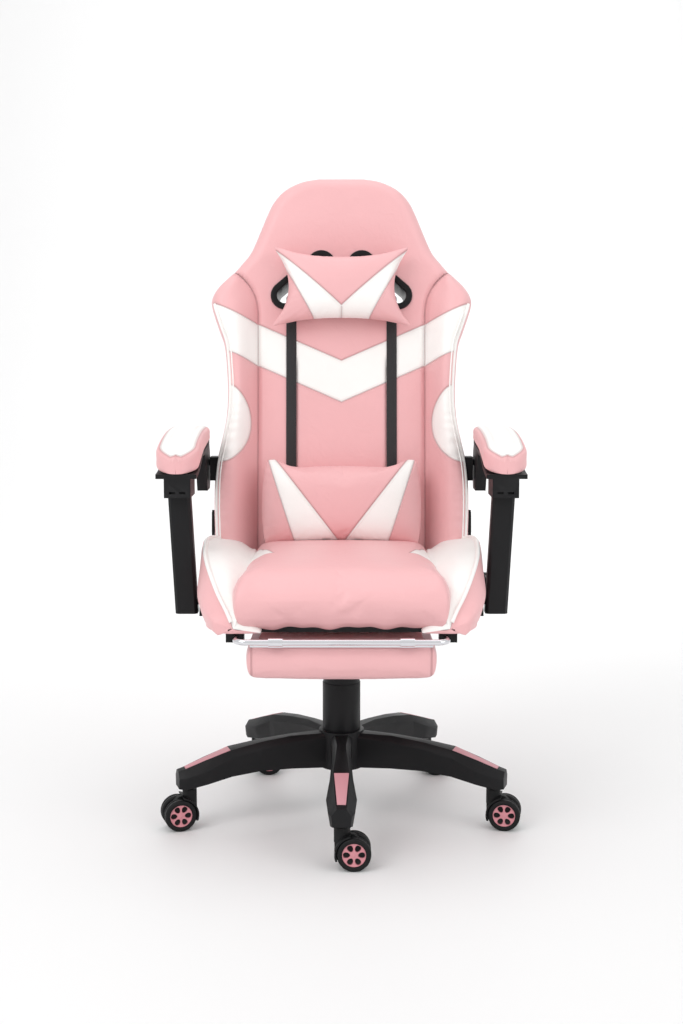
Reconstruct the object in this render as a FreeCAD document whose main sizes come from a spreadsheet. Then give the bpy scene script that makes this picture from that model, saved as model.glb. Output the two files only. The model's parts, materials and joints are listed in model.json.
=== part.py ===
"""Swivel gaming chair with a reclining back, linked armrests and a pull-out footrest.

The model is in millimetres, +Z up, with the front of the seat facing -Y. The origin lies on
the floor, on the axis of the gas column. "Left" is the -X side, as seen from the front.
Every driving dimension is a cell of the spreadsheet P, and the sizes of the sub-parts are
expressions of those cells.
"""
import FreeCAD, Part
import math
import os
import re
import Sketcher

V = FreeCAD.Vector
X_AXIS = V(1, 0, 0)
Y_AXIS = V(0, 1, 0)
Z_AXIS = V(0, 0, 1)
SIDES = {"left": -1, "right": 1}

# ---------------------------------------------------------------- driving dimensions, in mm
DIMENSIONS = {
    # casters
    "wheel_dia": 58, "wheel_wid": 18, "wheel_gap": 12, "caster_trail": 21, "swivel_reach": 291,
    "axle_dia": 6, "stem_dia": 11, "hub_dia": 41, "hub_depth": 5, "fender_clear": 1.2,
    # five-leg base
    "hub_out_dia": 84, "hub_top": 160, "hub_low": 90, "tip_top": 111, "tip_low": 75,
    "inlay_from": 217, "inlay_to": 300, "inlay_wid_a": 26, "inlay_wid_b": 15, "inlay_thick": 3,
    # gas column
    "tube_dia": 50, "tube_top": 286, "tube_low": 91, "piston_dia": 28, "piston_low": 140,
    "piston_top": 349, "rod_dia": 10, "valve_dia": 8, "sleeve_dia": 70.4, "sleeve_wall": 1.0,
    "sleeve_gap": 0.3, "lift_travel": 80,
    # tilt mechanism
    "box_wid": 108, "box_low": 334, "box_top": 376, "box_front": -84, "box_back": 62,
    "pivot_y": -38, "pivot_z": 350, "pin_dia": 10, "plate_top": 393, "plate_thick": 3,
    "plate_wid": 240, "plate_deep": 196, "knob_y": -64,
    # height lever
    "lever_dia": 8, "fulcrum_x": -52.5, "lever_z": 359, "paddle_x": -196,
    # seat
    "rail_wid": 22, "rail_high": 22, "rail_x": 205, "seat_low": 398, "seat_top": 492,
    "seat_front": -262, "seat_back": 158, "seat_half": 252, "seat_front_half": 184,
    "bolster_top": 511, "board_thick": 8,
    # footrest
    "rest_rod_dia": 10, "rest_rod_x": 178, "rest_rod_z": 384, "rest_rod_front": -278,
    "rest_rod_back": 186, "rest_wid": 324, "rest_deep": 168, "rest_top": 378, "rest_low": 316,
    "rest_board": 6,
    # recline hinge and backrest
    "hinge_y": 192, "hinge_z": 428, "lean": 9.1, "back_high": 783, "back_half": 251,
    "wing_half": 260, "waist_half": 225, "back_front": -28, "back_rear": 45,
    "back_bolster": 55, "frame_dia": 20, "slot_r": 21, "bezel_r": 26, "strap_wid": 20,
    "strap_thick": 2, "plate_x": 262,
    # pillows
    "head_wid": 262, "head_high": 150, "head_deep": 86, "lumbar_wid": 304,
    "lumbar_high": 160, "lumbar_deep": 96,
    # armrests
    "arm_x": 292, "arm_wid": 76, "arm_front": -108, "arm_back": 152, "post_wid": 40,
    "post_deep": 32, "link_dy": -5, "link_dz": 216, "post_y": -58, "post_z": 412,
    "hood_wall": 3, "hood_front": 43, "hood_rear": 33, "hood_low": 606,
}

doc = FreeCAD.newDocument("gaming_chair")
P = doc.addObject("Spreadsheet::Sheet", "P")
for row, (alias, number) in enumerate(DIMENSIONS.items(), start=1):
    P.set(f"A{row}", alias)
    P.set(f"B{row}", str(number))
    P.setAlias(f"B{row}", alias)
doc.recompute()

NODES = {}
ALIAS = re.compile(r"\b(" + "|".join(sorted(DIMENSIONS, key=len, reverse=True)) + r")\b")


# ---------------------------------------------------------------- helpers
def bound(text):
    """The expression with each alias turned into a reference to the sheet."""
    return ALIAS.sub(r"P.\1", str(text))


def val(text):
    """The value of an expression of the sheet's aliases."""
    if isinstance(text, (int, float)):
        return float(text)
    plain = text.replace(" ", "").replace("--", "+").replace("+-", "-").replace("-+", "-")
    total = 0.0
    for sign, term in re.findall(r"([+-]?)([^+\-]+)", plain):
        product = 1.0
        for operator, factor in re.findall(r"([*/]?)([\w.]+)", term):
            number = float(P.get(factor)) if factor in DIMENSIONS else float(factor)
            product = product / number if operator == "/" else product * number
        total += -product if sign == "-" else product
    return total


def vec(point):
    return V(*[val(c) for c in point])


def turned(axis, degrees, at=(0, 0, 0)):
    """A placement at a point, turned about an axis."""
    return FreeCAD.Placement(vec(at), FreeCAD.Rotation(axis, degrees))


HERE = FreeCAD.Placement()
LEANING = turned(X_AXIS, -val("lean"), (0, "hinge_y", "hinge_z"))


def size(obj, **sizes):
    for name, text in sizes.items():
        obj.setExpression(name, bound(text))
    return obj


def box(name, dims, centre, frame=HERE):
    """A box of three bound sizes about a centre."""
    obj = size(doc.addObject("Part::Box", name), Length=dims[0], Width=dims[1], Height=dims[2])
    corner = vec(centre) - vec(dims) * 0.5
    obj.Placement = frame.multiply(FreeCAD.Placement(corner, FreeCAD.Rotation()))
    return obj


def rod(name, radius, length, start, axis=Z_AXIS, frame=HERE):
    """A cylinder of bound radius and length that runs along an axis from its start."""
    obj = size(doc.addObject("Part::Cylinder", name), Radius=radius, Height=length)
    way = FreeCAD.Rotation(Z_AXIS, axis)
    obj.Placement = frame.multiply(FreeCAD.Placement(vec(start), way))
    return obj


def fuse(name, parts):
    obj = doc.addObject("Part::MultiFuse", name)
    obj.Shapes = parts
    return obj


def cut(name, base, *tools):
    obj = doc.addObject("Part::Cut", name)
    obj.Base = base
    obj.Tool = tools[0] if len(tools) == 1 else fuse(name + "_tools", list(tools))
    return obj


def common(name, base, tool):
    obj = doc.addObject("Part::Common", name)
    obj.Base = base
    obj.Tool = tool
    return obj


def group(name, parts):
    """Separate solids that share one node."""
    obj = doc.addObject("Part::Compound", name)
    obj.Links = parts
    return obj


def rounded(name, base, radius, chosen):
    """A Part::Fillet of the edges whose middle and direction pass the test."""
    doc.recompute()
    obj = doc.addObject("Part::Fillet", name)
    obj.Base = base
    inverse = base.Placement.inverse()
    picked = []
    for number, edge in enumerate(base.Shape.Edges, start=1):
        middle = inverse.multVec(edge.CenterOfMass)
        way = inverse.Rotation.multVec(edge.tangentAt(edge.FirstParameter))
        if chosen(middle, way):
            picked.append((number, val(radius), val(radius)))
    obj.Edges = picked
    return obj


def node(label, obj):
    """Names the finished sub-part, which names its file."""
    obj.Label = label
    NODES[label] = obj
    return obj


def body(name, frame=HERE):
    obj = doc.addObject("PartDesign::Body", name)
    obj.Placement = frame
    return obj


BOW_STEPS = 5


def bowed(points):
    """Replaces each (across, up, sagitta) by chords of the arc to the next point.

    The arc bows by the sagitta to the right of the way it goes.
    """
    result = []
    for i, point in enumerate(points):
        result.append((point[0], point[1]))
        if len(point) < 3 or not val(point[2]):
            continue
        after = points[(i + 1) % len(points)]
        start = V(val(point[0]), val(point[1]), 0)
        end = V(val(after[0]), val(after[1]), 0)
        right = V(end.y - start.y, start.x - end.x, 0).normalize()
        arc = Part.Arc(start, (start + end) * 0.5 + right * val(point[2]), end).toShape()
        chords = arc.discretize(BOW_STEPS + 1)
        if chords[0].distanceToPoint(start) > 1e-6:
            chords.reverse()
        result += [(spot.x, spot.y) for spot in chords[1:-1]]
    return result


def outline(owner, name, role, points, offset=0):
    """A fully constrained closed sketch on one of the body's origin planes.

    Each point is (across, up) or (across, up, sagitta), where the sagitta bows the stretch
    that leaves the point.
    """
    sketch = owner.newObject("Sketcher::SketchObject", name)
    plane = next(f for f in owner.Origin.OriginFeatures if f.Role == role)
    sketch.AttachmentSupport = [(plane, "")]
    sketch.MapMode = "FlatFace"
    sketch.setExpression("AttachmentOffset.Base.z", bound(offset))
    corners = bowed(points)
    spots = [V(val(across), val(up), 0) for across, up in corners]
    count = len(corners)
    for i in range(count):
        sketch.addGeometry(Part.LineSegment(spots[i], spots[(i + 1) % count]))
    for i in range(count):
        sketch.addConstraint(Sketcher.Constraint("Coincident", i, 2, (i + 1) % count, 1))
    for i, (across, up) in enumerate(corners):
        for kind, text, number in (("DistanceX", across, spots[i].x), ("DistanceY", up, spots[i].y)):
            at = sketch.addConstraint(Sketcher.Constraint(kind, -1, 1, i, 1, number))
            if isinstance(text, str):
                sketch.setExpression(f"Constraints[{at}]", bound(text))
    return sketch


def pad(owner, name, role, points, length, offset=0, both_ways=False):
    """A pad of a closed outline."""
    feature = owner.newObject("PartDesign::Pad", name)
    feature.Profile = outline(owner, name + "_sketch", role, points, offset)
    feature.setExpression("Length", bound(length))
    feature.Midplane = both_ways
    return feature


def pocket_through(owner, name, role, points, length, offset=0):
    """A pocket cut to both sides of its sketch."""
    doc.recompute()
    before = owner.Shape.Volume
    feature = owner.newObject("PartDesign::Pocket", name)
    feature.Profile = outline(owner, name + "_sketch", role, points, offset)
    feature.setExpression("Length", bound(length))
    feature.Midplane = True
    doc.recompute()
    if owner.Shape.Volume > before - 1:
        raise RuntimeError(f"{name} cuts nothing")
    return feature


def loft(owner, name, role, sections, ruled=True):
    """An additive loft through closed outlines on planes at each section's offset."""
    feature = owner.newObject("PartDesign::AdditiveLoft", name)
    drawn = [outline(owner, f"{name}_{i}", role, pts, at) for i, (at, pts) in enumerate(sections)]
    feature.Profile = drawn[0]
    feature.Sections = drawn[1:]
    feature.Ruled = ruled
    return feature


def mirrored_outline(points):
    """The right half of an outline, from the bottom up, closed with its mirror image."""
    left = []
    for i in range(len(points) - 1, -1, -1):
        bow = points[i - 1][2] if i > 0 and len(points[i - 1]) > 2 else 0
        left.append((negated(points[i][0]), points[i][1], bow))
    right = list(points)
    right[-1] = (points[-1][0], points[-1][1])
    return right + left


def negated(text):
    """Minus an expression that is a sum of terms."""
    terms = re.findall(r"([+-]?)\s*([^+\-\s][^+\-]*)", str(text))
    return "0 " + " ".join(("+ " if sign == "-" else "- ") + term.strip() for sign, term in terms)


def bent_tube(name, points, radius, bend, frame=HERE):
    """A round tube along straight runs that are joined by tangent arcs.

    A sweep along such a path has no Part primitive, so the shape is set here, from the
    sheet's values.
    """
    spots = [vec(p) for p in points]
    edges = []
    last = spots[0]
    for before, corner, after in zip(spots, spots[1:], spots[2:]):
        a = (before - corner).normalize()
        b = (after - corner).normalize()
        half = a.getAngle(b) / 2
        reach = val(bend) / math.tan(half)
        start, end = corner + a * reach, corner + b * reach
        centre = corner + (a + b).normalize() * (val(bend) / math.sin(half))
        middle = centre + (corner - centre).normalize() * val(bend)
        edges += [Part.LineSegment(last, start).toShape(), Part.Arc(start, middle, end).toShape()]
        last = end
    edges.append(Part.LineSegment(last, spots[-1]).toShape())
    path = Part.Wire(edges)
    ring = Part.Wire(Part.makeCircle(val(radius), spots[0], (spots[1] - spots[0]).normalize()))
    shape = path.makePipeShell([ring], True, True)
    expected = math.pi * val(radius) ** 2 * path.Length
    if abs(shape.Volume / expected - 1) > 0.02:
        raise RuntimeError(f"{name} swept to the wrong volume")
    obj = doc.addObject("Part::Feature", name)
    obj.Shape = shape
    obj.Placement = frame
    return obj


# ---------------------------------------------------------------- five-leg base
LEG_ANGLES = [-90 + 72 * i for i in range(5)]
# Half width and height of a leg's top face, shoulder and foot, at five reaches from the axis.
LEG_SECTIONS = [
    (26, 13, 157, 20, 150, 20, 92),
    (100, 8, 156, 17, 146, 17, 96),
    (160, 11, 150, 18, 138, 17, 97),
    (215, 14.5, 141, 20.5, 128, 18, 92),
    (262, 12, 125.5, 26.5, 108, 20, 82),
    (301, 9.5, "tip_top", 23, 98, 19, "tip_low"),
    (313, 8, "tip_top - 3", 17, 96, 15, "tip_low + 2"),
]


def leg_outline(top_half, top, side_half, side, foot_half, foot):
    return [(-foot_half, foot), (foot_half, foot), (side_half, side),
            (top_half, top), (-top_half, top), (-side_half, side)]


def inlay_solid(name, frame, thick, sink, grow=0):
    """A trapezoid plate that follows the sloping top of a leg."""
    run = val("inlay_to - inlay_from")
    drop = val(141 - P.get("tip_top"))
    slope = math.degrees(math.atan2(drop - 1, run))
    seat = frame.multiply(turned(Y_AXIS, slope, ("inlay_from", 0, 140.6)))
    plate = body(name, seat)
    half_a, half_b = f"inlay_wid_a / 2 + {grow}", f"inlay_wid_b / 2 + {grow}"
    end = f"inlay_to - inlay_from + {4 + grow}"
    pad(plate, name + "_pad", "XY_Plane",
        [(-grow, negated(half_a)), (end, negated(half_b)), (end, half_b), (-grow, half_a)],
        thick, offset=sink)
    return plate


def make_base():
    hub = [rod("hub_core", "hub_out_dia / 2", "hub_top - hub_low", (0, 0, "hub_low"))]
    for i, angle in enumerate(LEG_ANGLES):
        leg = body(f"leg_{i}", turned(Z_AXIS, angle))
        loft(leg, f"leg_{i}_loft", "YZ_Plane",
             [(s[0], leg_outline(*s[1:])) for s in LEG_SECTIONS])
        hub.append(leg)
    star = fuse("star_blank", hub)
    holes = [rod("hub_bore", "tube_dia / 2", 90, (0, 0, 85))]
    for i, angle in enumerate(LEG_ANGLES):
        frame = turned(Z_AXIS, angle)
        holes.append(rod(f"stem_bore_{i}", "stem_dia / 2", 26, ("swivel_reach", 0, 74), frame=frame))
        holes.append(inlay_solid(f"inlay_seat_{i}", frame, 30, -2.2, 0.2))
    node("star_base", cut("star_cut", star, *holes))
    plates = [inlay_solid(f"inlay_{i}", turned(Z_AXIS, a), "inlay_thick", -2.2)
              for i, a in enumerate(LEG_ANGLES)]
    node("leg_inlays", group("inlay_group", plates))


# ---------------------------------------------------------------- casters
TRAIL_ANGLES = [0, -10, 4, 8, 199]


def caster_frame(i):
    angle = math.radians(LEG_ANGLES[i])
    reach = val("swivel_reach")
    return turned(Z_AXIS, TRAIL_ANGLES[i], (reach * math.cos(angle), reach * math.sin(angle), 0))


def make_stems():
    """Steel stems, each pressed in its leg, with a collar that the leg rests on."""
    stems = []
    for i in range(5):
        frame = caster_frame(i)
        stems.append(fuse(f"stem_{i}", [
            rod(f"stem_pin_{i}", "stem_dia / 2", 38, (0, 0, 60), frame=frame),
            rod(f"stem_collar_{i}", 8, 2, (0, 0, 73), frame=frame)]))
    node("caster_stems", group("stem_group", stems))


def make_caster(i):
    frame = caster_frame(i)
    name = f"caster_{i + 1}"
    axle_z = "wheel_dia / 2"
    half_web = "wheel_gap / 2 - 0.6"
    clear = "wheel_dia / 2 + fender_clear"
    # hood: a boss on the stem, a fender behind the wheels and a web between them
    boss = rod(name + "_boss", 13, 27, (0, 0, 45.5), frame=frame)
    shell = rod(name + "_fender", "wheel_dia / 2 + fender_clear + 3", 46, ("caster_trail", 23, axle_z),
                V(0, -1, 0), frame)
    side = box(name + "_fender_side", (62, 60, 52), (-16, 0, 44), frame)
    fender = common(name + "_fender_part", shell, side)
    outside = fuse(name + "_outside", [boss, fender])
    room = rod(name + "_room", clear, 60, ("caster_trail", 30, axle_z), V(0, -1, 0), frame)
    hood = cut(name + "_hood", outside, room)
    web_plate = body(name + "_web", frame)
    pad(web_plate, name + "_web_pad", "XZ_Plane",
        [(-12, 30, 4), ("caster_trail", 17, 8), ("caster_trail + 12", 30, 9), (13, 62), (-12, 62)],
        "wheel_gap - 1.2", both_ways=True)
    housing = cut(name + "_housing_cut", fuse(name + "_housing_blank", [hood, web_plate]),
                  rod(name + "_stem_room", "stem_dia / 2 + 0.05", 30, (0, 0, 59.5), frame=frame),
                  rod(name + "_axle_room", "axle_dia / 2", 40, ("caster_trail", 20, axle_z),
                      V(0, -1, 0), frame))
    axle = rod(name + "_axle", "axle_dia / 2", "wheel_gap + 2 * wheel_wid - 14",
               ("caster_trail", "wheel_gap / 2 + wheel_wid - 7", axle_z), V(0, -1, 0), frame)
    node(name + "_housing", group(name + "_housing_group", [housing, axle]))
    for side_name, s in SIDES.items():
        make_wheel(f"{name}_wheel_{side_name}", frame, s)


def make_wheel(name, frame, s):
    """A wheel with a blind bore for the axle and a six-spoke hub cap pressed in its outer face."""
    way = V(0, s, 0)
    inner = f"{s} * wheel_gap / 2"
    disc = rod(name + "_disc", "wheel_dia / 2", "wheel_wid", ("caster_trail", inner, "wheel_dia / 2"),
               way, frame)
    doc.recompute()
    tyre = doc.addObject("Part::Fillet", name + "_round")
    tyre.Base = disc
    tyre.Edges = [(n, 2.6, 2.6) for n, e in enumerate(disc.Shape.Edges, start=1)
                  if e.Curve.TypeId == "Part::GeomCircle"]
    bore = rod(name + "_bore", "axle_dia / 2 + 0.08", "wheel_wid - 6.5",
               ("caster_trail", inner, "wheel_dia / 2"), way, frame)
    outer = f"{s} * wheel_gap / 2 + {s} * wheel_wid"
    recess = rod(name + "_recess", "hub_dia / 2", "hub_depth",
                 ("caster_trail", f"{outer} - {s} * hub_depth", "wheel_dia / 2"), way, frame)
    rim = cut(name + "_tyre", tyre, bore, recess)
    cap = rod(name + "_cap_disc", "hub_dia / 2", "hub_depth - 1",
              ("caster_trail", f"{outer} - {s} * hub_depth", "wheel_dia / 2"), way, frame)
    windows = []
    for k in range(6):
        angle = math.radians(60 * k + 30)
        spot = (val("caster_trail") + 12.8 * math.cos(angle), f"{outer} - {s} * hub_depth + {s}",
                val("wheel_dia / 2") + 12.8 * math.sin(angle))
        windows.append(rod(f"{name}_window_{k}", 4.2, "hub_depth", spot, way, frame))
    hub = cut(name + "_cap", cap, *windows)
    node(name, group(name + "_group", [rim, hub]))


# ---------------------------------------------------------------- gas column
def tube_solid(name, outer, inner, length, start):
    return cut(name, rod(name + "_out", outer, length, start),
               rod(name + "_in", inner, length + " + 2" if isinstance(length, str) else length + 2,
                   (start[0], start[1], f"{start[2]} - 1")))


def make_column():
    tube = tube_solid("outer_tube", "tube_dia / 2", "tube_dia / 2 - 2", "tube_top - tube_low",
                      (0, 0, "tube_low"))
    floor_disc = rod("tube_floor", "tube_dia / 2", 3, (0, 0, "tube_low"))
    steel = cut("tube_cut", fuse("tube_blank", [tube, floor_disc]),
                rod("tube_rod_hole", "rod_dia / 2 + 0.05", 20, (0, 0, 85)))
    bush = tube_solid("bush", "tube_dia / 2 - 2", "piston_dia / 2 + 0.1", 60, (0, 0, "tube_top - 60"))
    node("gas_outer_tube", group("tube_group", [steel, bush]))
    node("gas_rod", fuse("rod_solid", [rod("rod_bar", "rod_dia / 2", 140, (0, 0, 90)),
                                       rod("rod_collar", 9, 4, (0, 0, "tube_low + 3.1"))]))
    piston = rod("piston_out", "piston_dia / 2", "piston_top - piston_low", (0, 0, "piston_low"))
    node("gas_cylinder", cut("piston_cut", piston,
                             rod("piston_room", "rod_dia / 2 + 0.1", 180, (0, 0, "piston_low - 1")),
                             rod("valve_room", "valve_dia / 2 + 0.05", 12, (0, 0, "piston_top - 8"))))
    node("gas_valve_button", rod("valve", "valve_dia / 2", 8.3, (0, 0, "piston_top - 2.6")))
    steps = [("lower", 0, "hub_top", 90), ("middle", 1, 200, 100), ("upper", 2, 243, 88)]
    for name, k, low, length in steps:
        shrink = f"{k} * sleeve_wall - {k} * sleeve_gap"
        outer = f"sleeve_dia / 2 - {shrink}"
        node(f"column_sleeve_{name}",
             tube_solid(f"sleeve_{name}", outer, outer + " - sleeve_wall", length, (0, 0, low)))


# ---------------------------------------------------------------- tilt mechanism
def make_mechanism():
    shell = body("mechanism_box")
    pad(shell, "mechanism_pad", "YZ_Plane",
        [("box_front", "box_low + 8"), ("box_front + 10", "box_low"), ("box_back", "box_low"),
         ("box_back", "box_top - 24"), ("pivot_y + 4", "box_top"), ("box_front", "box_top")],
        "box_wid", both_ways=True)
    half_in = "box_wid - 6"
    hollow = box("mechanism_room", (half_in, 128, 60), (0, -12, 374))
    post_seat = rod("mechanism_cup", 24, 17, (0, 0, "box_low"))
    tools = [
        rod("cup_bore", "piston_dia / 2", 22, (0, 0, "box_low - 1")),
        rod("pivot_bore", "pin_dia / 2 + 0.05", 140, (-70, "pivot_y", "pivot_z"), X_AXIS),
        box("bolt_slot", (14, 34, 30), (0, "knob_y", 336)),
        rod("fulcrum_bore", 9.6, 30, (-70, 0, "lever_z"), X_AXIS),
        box("lever_notch", (8, 19.2, 30), ("fulcrum_x", 0, "lever_z + 15")),
        rod("trunnion_bore", 1.25, 26, ("fulcrum_x", -13, "lever_z"), Y_AXIS),
    ]
    blank = fuse("mechanism_blank", [cut("mechanism_open", shell, hollow), post_seat])
    node("mechanism_housing", cut("mechanism_cut", blank, *tools))
    node("tilt_pivot_pin", rod("pivot_pin", "pin_dia / 2", 130, (-65, "pivot_y", "pivot_z"), X_AXIS))


def make_tilt_spring():
    """A coil spring between the mechanism's floor and the knob."""
    helix = Part.makeHelix(5.0, 15.0, 13.0)
    wire = Part.Wire(helix)
    ring = Part.Wire(Part.makeCircle(1.8, V(13, 0, 0), V(0, 1, 0)))
    coil = wire.makePipeShell([ring], True, True)
    obj = doc.addObject("Part::Feature", "spring_coil")
    obj.Shape = coil
    obj.Placement = turned(Z_AXIS, 0, (0, "knob_y", "box_low - 18"))
    node("tilt_spring", obj)


def make_knob():
    grip = rod("knob_grip", 21, 16, (0, "knob_y", 297))
    flutes = [rod(f"knob_flute_{k}", 3.5, 20, (23.5 * math.cos(math.radians(30 * k)),
                                               val("knob_y") + 23.5 * math.sin(math.radians(30 * k)), 295))
              for k in range(12)]
    shaped = cut("knob_fluted", grip, *flutes)
    node("tilt_tension_knob", fuse("knob_blank", [
        shaped, rod("knob_bolt", 5, "plate_top - plate_thick - 1 - 310", (0, "knob_y", 310))]))


def make_lever():
    """The height lever: a bent steel rod in a collar that rocks on the mechanism's wall."""
    collar = rod("collar_out", 8.4, 22, ("fulcrum_x - 11", 0, "lever_z"), X_AXIS)
    trunnions = rod("trunnions", 1.2, 25, ("fulcrum_x", -12.5, "lever_z"), Y_AXIS)
    node("lever_collar", cut("collar_cut", fuse("collar_blank", [collar, trunnions]),
                             rod("collar_in", "lever_dia / 2 + 0.08", 60, (-84, 0, "lever_z"), X_AXIS)))
    node("height_lever", bent_tube("lever_rod", [(6, 0, "lever_z"), (-118, 0, "lever_z"),
                                                 ("paddle_x + 6", 0, 344)], "lever_dia / 2", 18))
    blade = box("paddle_blade", (34, 24, 12), (0, 0, 0), turned(Y_AXIS, -32, ("paddle_x - 2", 0, 338)))
    soft = rounded("paddle_round", blade, 4, lambda middle, way: True)
    node("lever_paddle", cut("paddle_cut", soft, bent_tube(
        "paddle_hole", [(6, 0, "lever_z"), (-118, 0, "lever_z"), ("paddle_x + 6", 0, 344)],
        "lever_dia / 2", 18)))


# ---------------------------------------------------------------- seat
def make_plate():
    top = box("plate_sheet", ("plate_wid", "plate_deep", "plate_thick"),
              (0, 6, "plate_top - plate_thick / 2"))
    cheeks = []
    for name, s in SIDES.items():
        cheek = body("cheek_" + name, turned(Z_AXIS, 0, (s * val("box_wid / 2 + 2.6"), 0, 0)))
        pad(cheek, f"cheek_{name}_pad", "YZ_Plane",
            [("pivot_y - 34", "plate_top - plate_thick"), ("pivot_y - 12", "pivot_z - 12", 4),
             ("pivot_y + 12", "pivot_z - 12"), ("pivot_y + 34", "plate_top - plate_thick")],
            3, both_ways=True)
        cheeks.append(cheek)
    tools = [rod("cheek_bore", "pin_dia / 2", 160, (-80, "pivot_y", "pivot_z"), X_AXIS),
             rod("plate_bolt_room", 5.3, 20, (0, "knob_y", 385)),
             rod("lever_room", 12, 14, (-64, 0, "lever_z"), X_AXIS)]
    bolts = []
    for k, (x, y) in enumerate([(-95, -72), (95, -72), (-95, 84), (95, 84)]):
        tools.append(rod(f"plate_hole_{k}", 4.2, 10, (x, y, 386)))
        head = rod(f"bolt_head_{k}", 7.5, 5, (x, y, "plate_top - plate_thick - 5"))
        shank = rod(f"bolt_shank_{k}", 4, 20, (x, y, "plate_top - plate_thick"))
        bolts.append(fuse(f"bolt_{k}", [head, shank]))
    node("mechanism_plate", cut("plate_cut", fuse("plate_blank", [top] + cheeks), *tools))
    node("plate_bolts", group("bolt_group", bolts))


def make_seat_frame():
    mid = "plate_top + rail_high / 2"
    bars = [box("rail_" + n, ("rail_wid", 430, "rail_high"), (s * val("rail_x"), -22, mid))
            for n, s in SIDES.items()]
    for name, y, wide in (("front", -226, 388), ("fore", -72, 388), ("aft", 84, 388), ("rear", 182, 388)):
        bars.append(box("cross_" + name, (wide, "rail_wid", "rail_high"), (0, y, mid)))
    holes = [rod(f"rail_hole_{k}", 4, 30, (x, y, 390))
             for k, (x, y) in enumerate([(-95, -72), (95, -72), (-95, 84), (95, 84)])]
    node("seat_frame", cut("seat_frame_cut", fuse("seat_frame_blank", bars), *holes))
    node("seat_board", box("board", (404, 380, "board_thick"),
                           (0, -44, "plate_top + rail_high + board_thick / 2")))


def make_seat_cushion():
    plan = mirrored_outline([
        ("seat_front_half - 26", "seat_front", 8), ("seat_front_half + 8", "seat_front + 26", -6),
        ("seat_half - 6", -120, 5), ("seat_half - 6", 70, 5), ("seat_half - 34", "seat_back")])
    shell = body("seat_foam")
    pad(shell, "seat_foam_pad", "XY_Plane", plan, "seat_top - seat_low - 18", offset="seat_low")
    crown = rounded("seat_crown", box("seat_crown_box", (364, 410, 60), (0, -52, "seat_top - 30")), 16,
                    lambda m, w: m.z > 59)
    sides = []
    for name, s in SIDES.items():
        block = box("bolster_" + name, (62, 226, 60), (s * 216, -18, "bolster_top - 30"))
        sides.append(rounded(f"bolster_{name}_round", block, 18, lambda m, w: m.z > 59))
    foam = fuse("seat_foam_all", [shell, crown] + sides)
    inside = box("frame_room", (433, 436, "rail_high + 30"), (0, -22, "plate_top + rail_high / 2 - 15"))
    room = box("board_room", (405, 381, "board_thick + 4"),
               (0, -44, "plate_top + rail_high + board_thick / 2 - 2"))
    bracket = box("bracket_room", (520, 46, 60), (0, "post_y", 394))
    node("seat_cushion", cut("seat_cushion_cut", foam, inside, room, bracket))


def make_footrest_guides():
    blocks = []
    for name, s in SIDES.items():
        for k, y in enumerate((-223, -128)):
            block = box(f"guide_{name}_{k}", (30, 28, 18), (s * val("rest_rod_x + 3"), y, "plate_top - 9"))
            hole = rod(f"guide_hole_{name}_{k}", "rest_rod_dia / 2 + 0.1", 60,
                       (s * val("rest_rod_x"), y - 30, "rest_rod_z"), Y_AXIS)
            blocks.append(cut(f"guide_cut_{name}_{k}", block, hole))
    node("footrest_guides", group("guide_group", blocks))


def make_arm_brackets():
    """Steel angles from the side rails out to the pivots of the two armrest posts."""
    brackets = []
    for name, s in SIDES.items():
        foot = box("bracket_foot_" + name, (50, 40, 4), (s * 231.2, "post_y", "plate_top - 2"))
        riser = body("bracket_riser_" + name, turned(Z_AXIS, 0, (s * 254.2, 0, 0)))
        pad(riser, f"bracket_riser_{name}_pad", "YZ_Plane",
            [("post_y - 20", "plate_top - 4"), ("post_y + 20", "plate_top - 4"),
             ("post_y + 13", "post_z + 13", 6), ("post_y - 13", "post_z + 13")], 4, both_ways=True)
        pin = rod("bracket_pin_" + name, 5, 34, (s * 253, "post_y", "post_z"), V(s, 0, 0))
        brackets.append(fuse("bracket_" + name, [foot, riser, pin]))
    node("arm_brackets", group("bracket_group", brackets))


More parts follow.
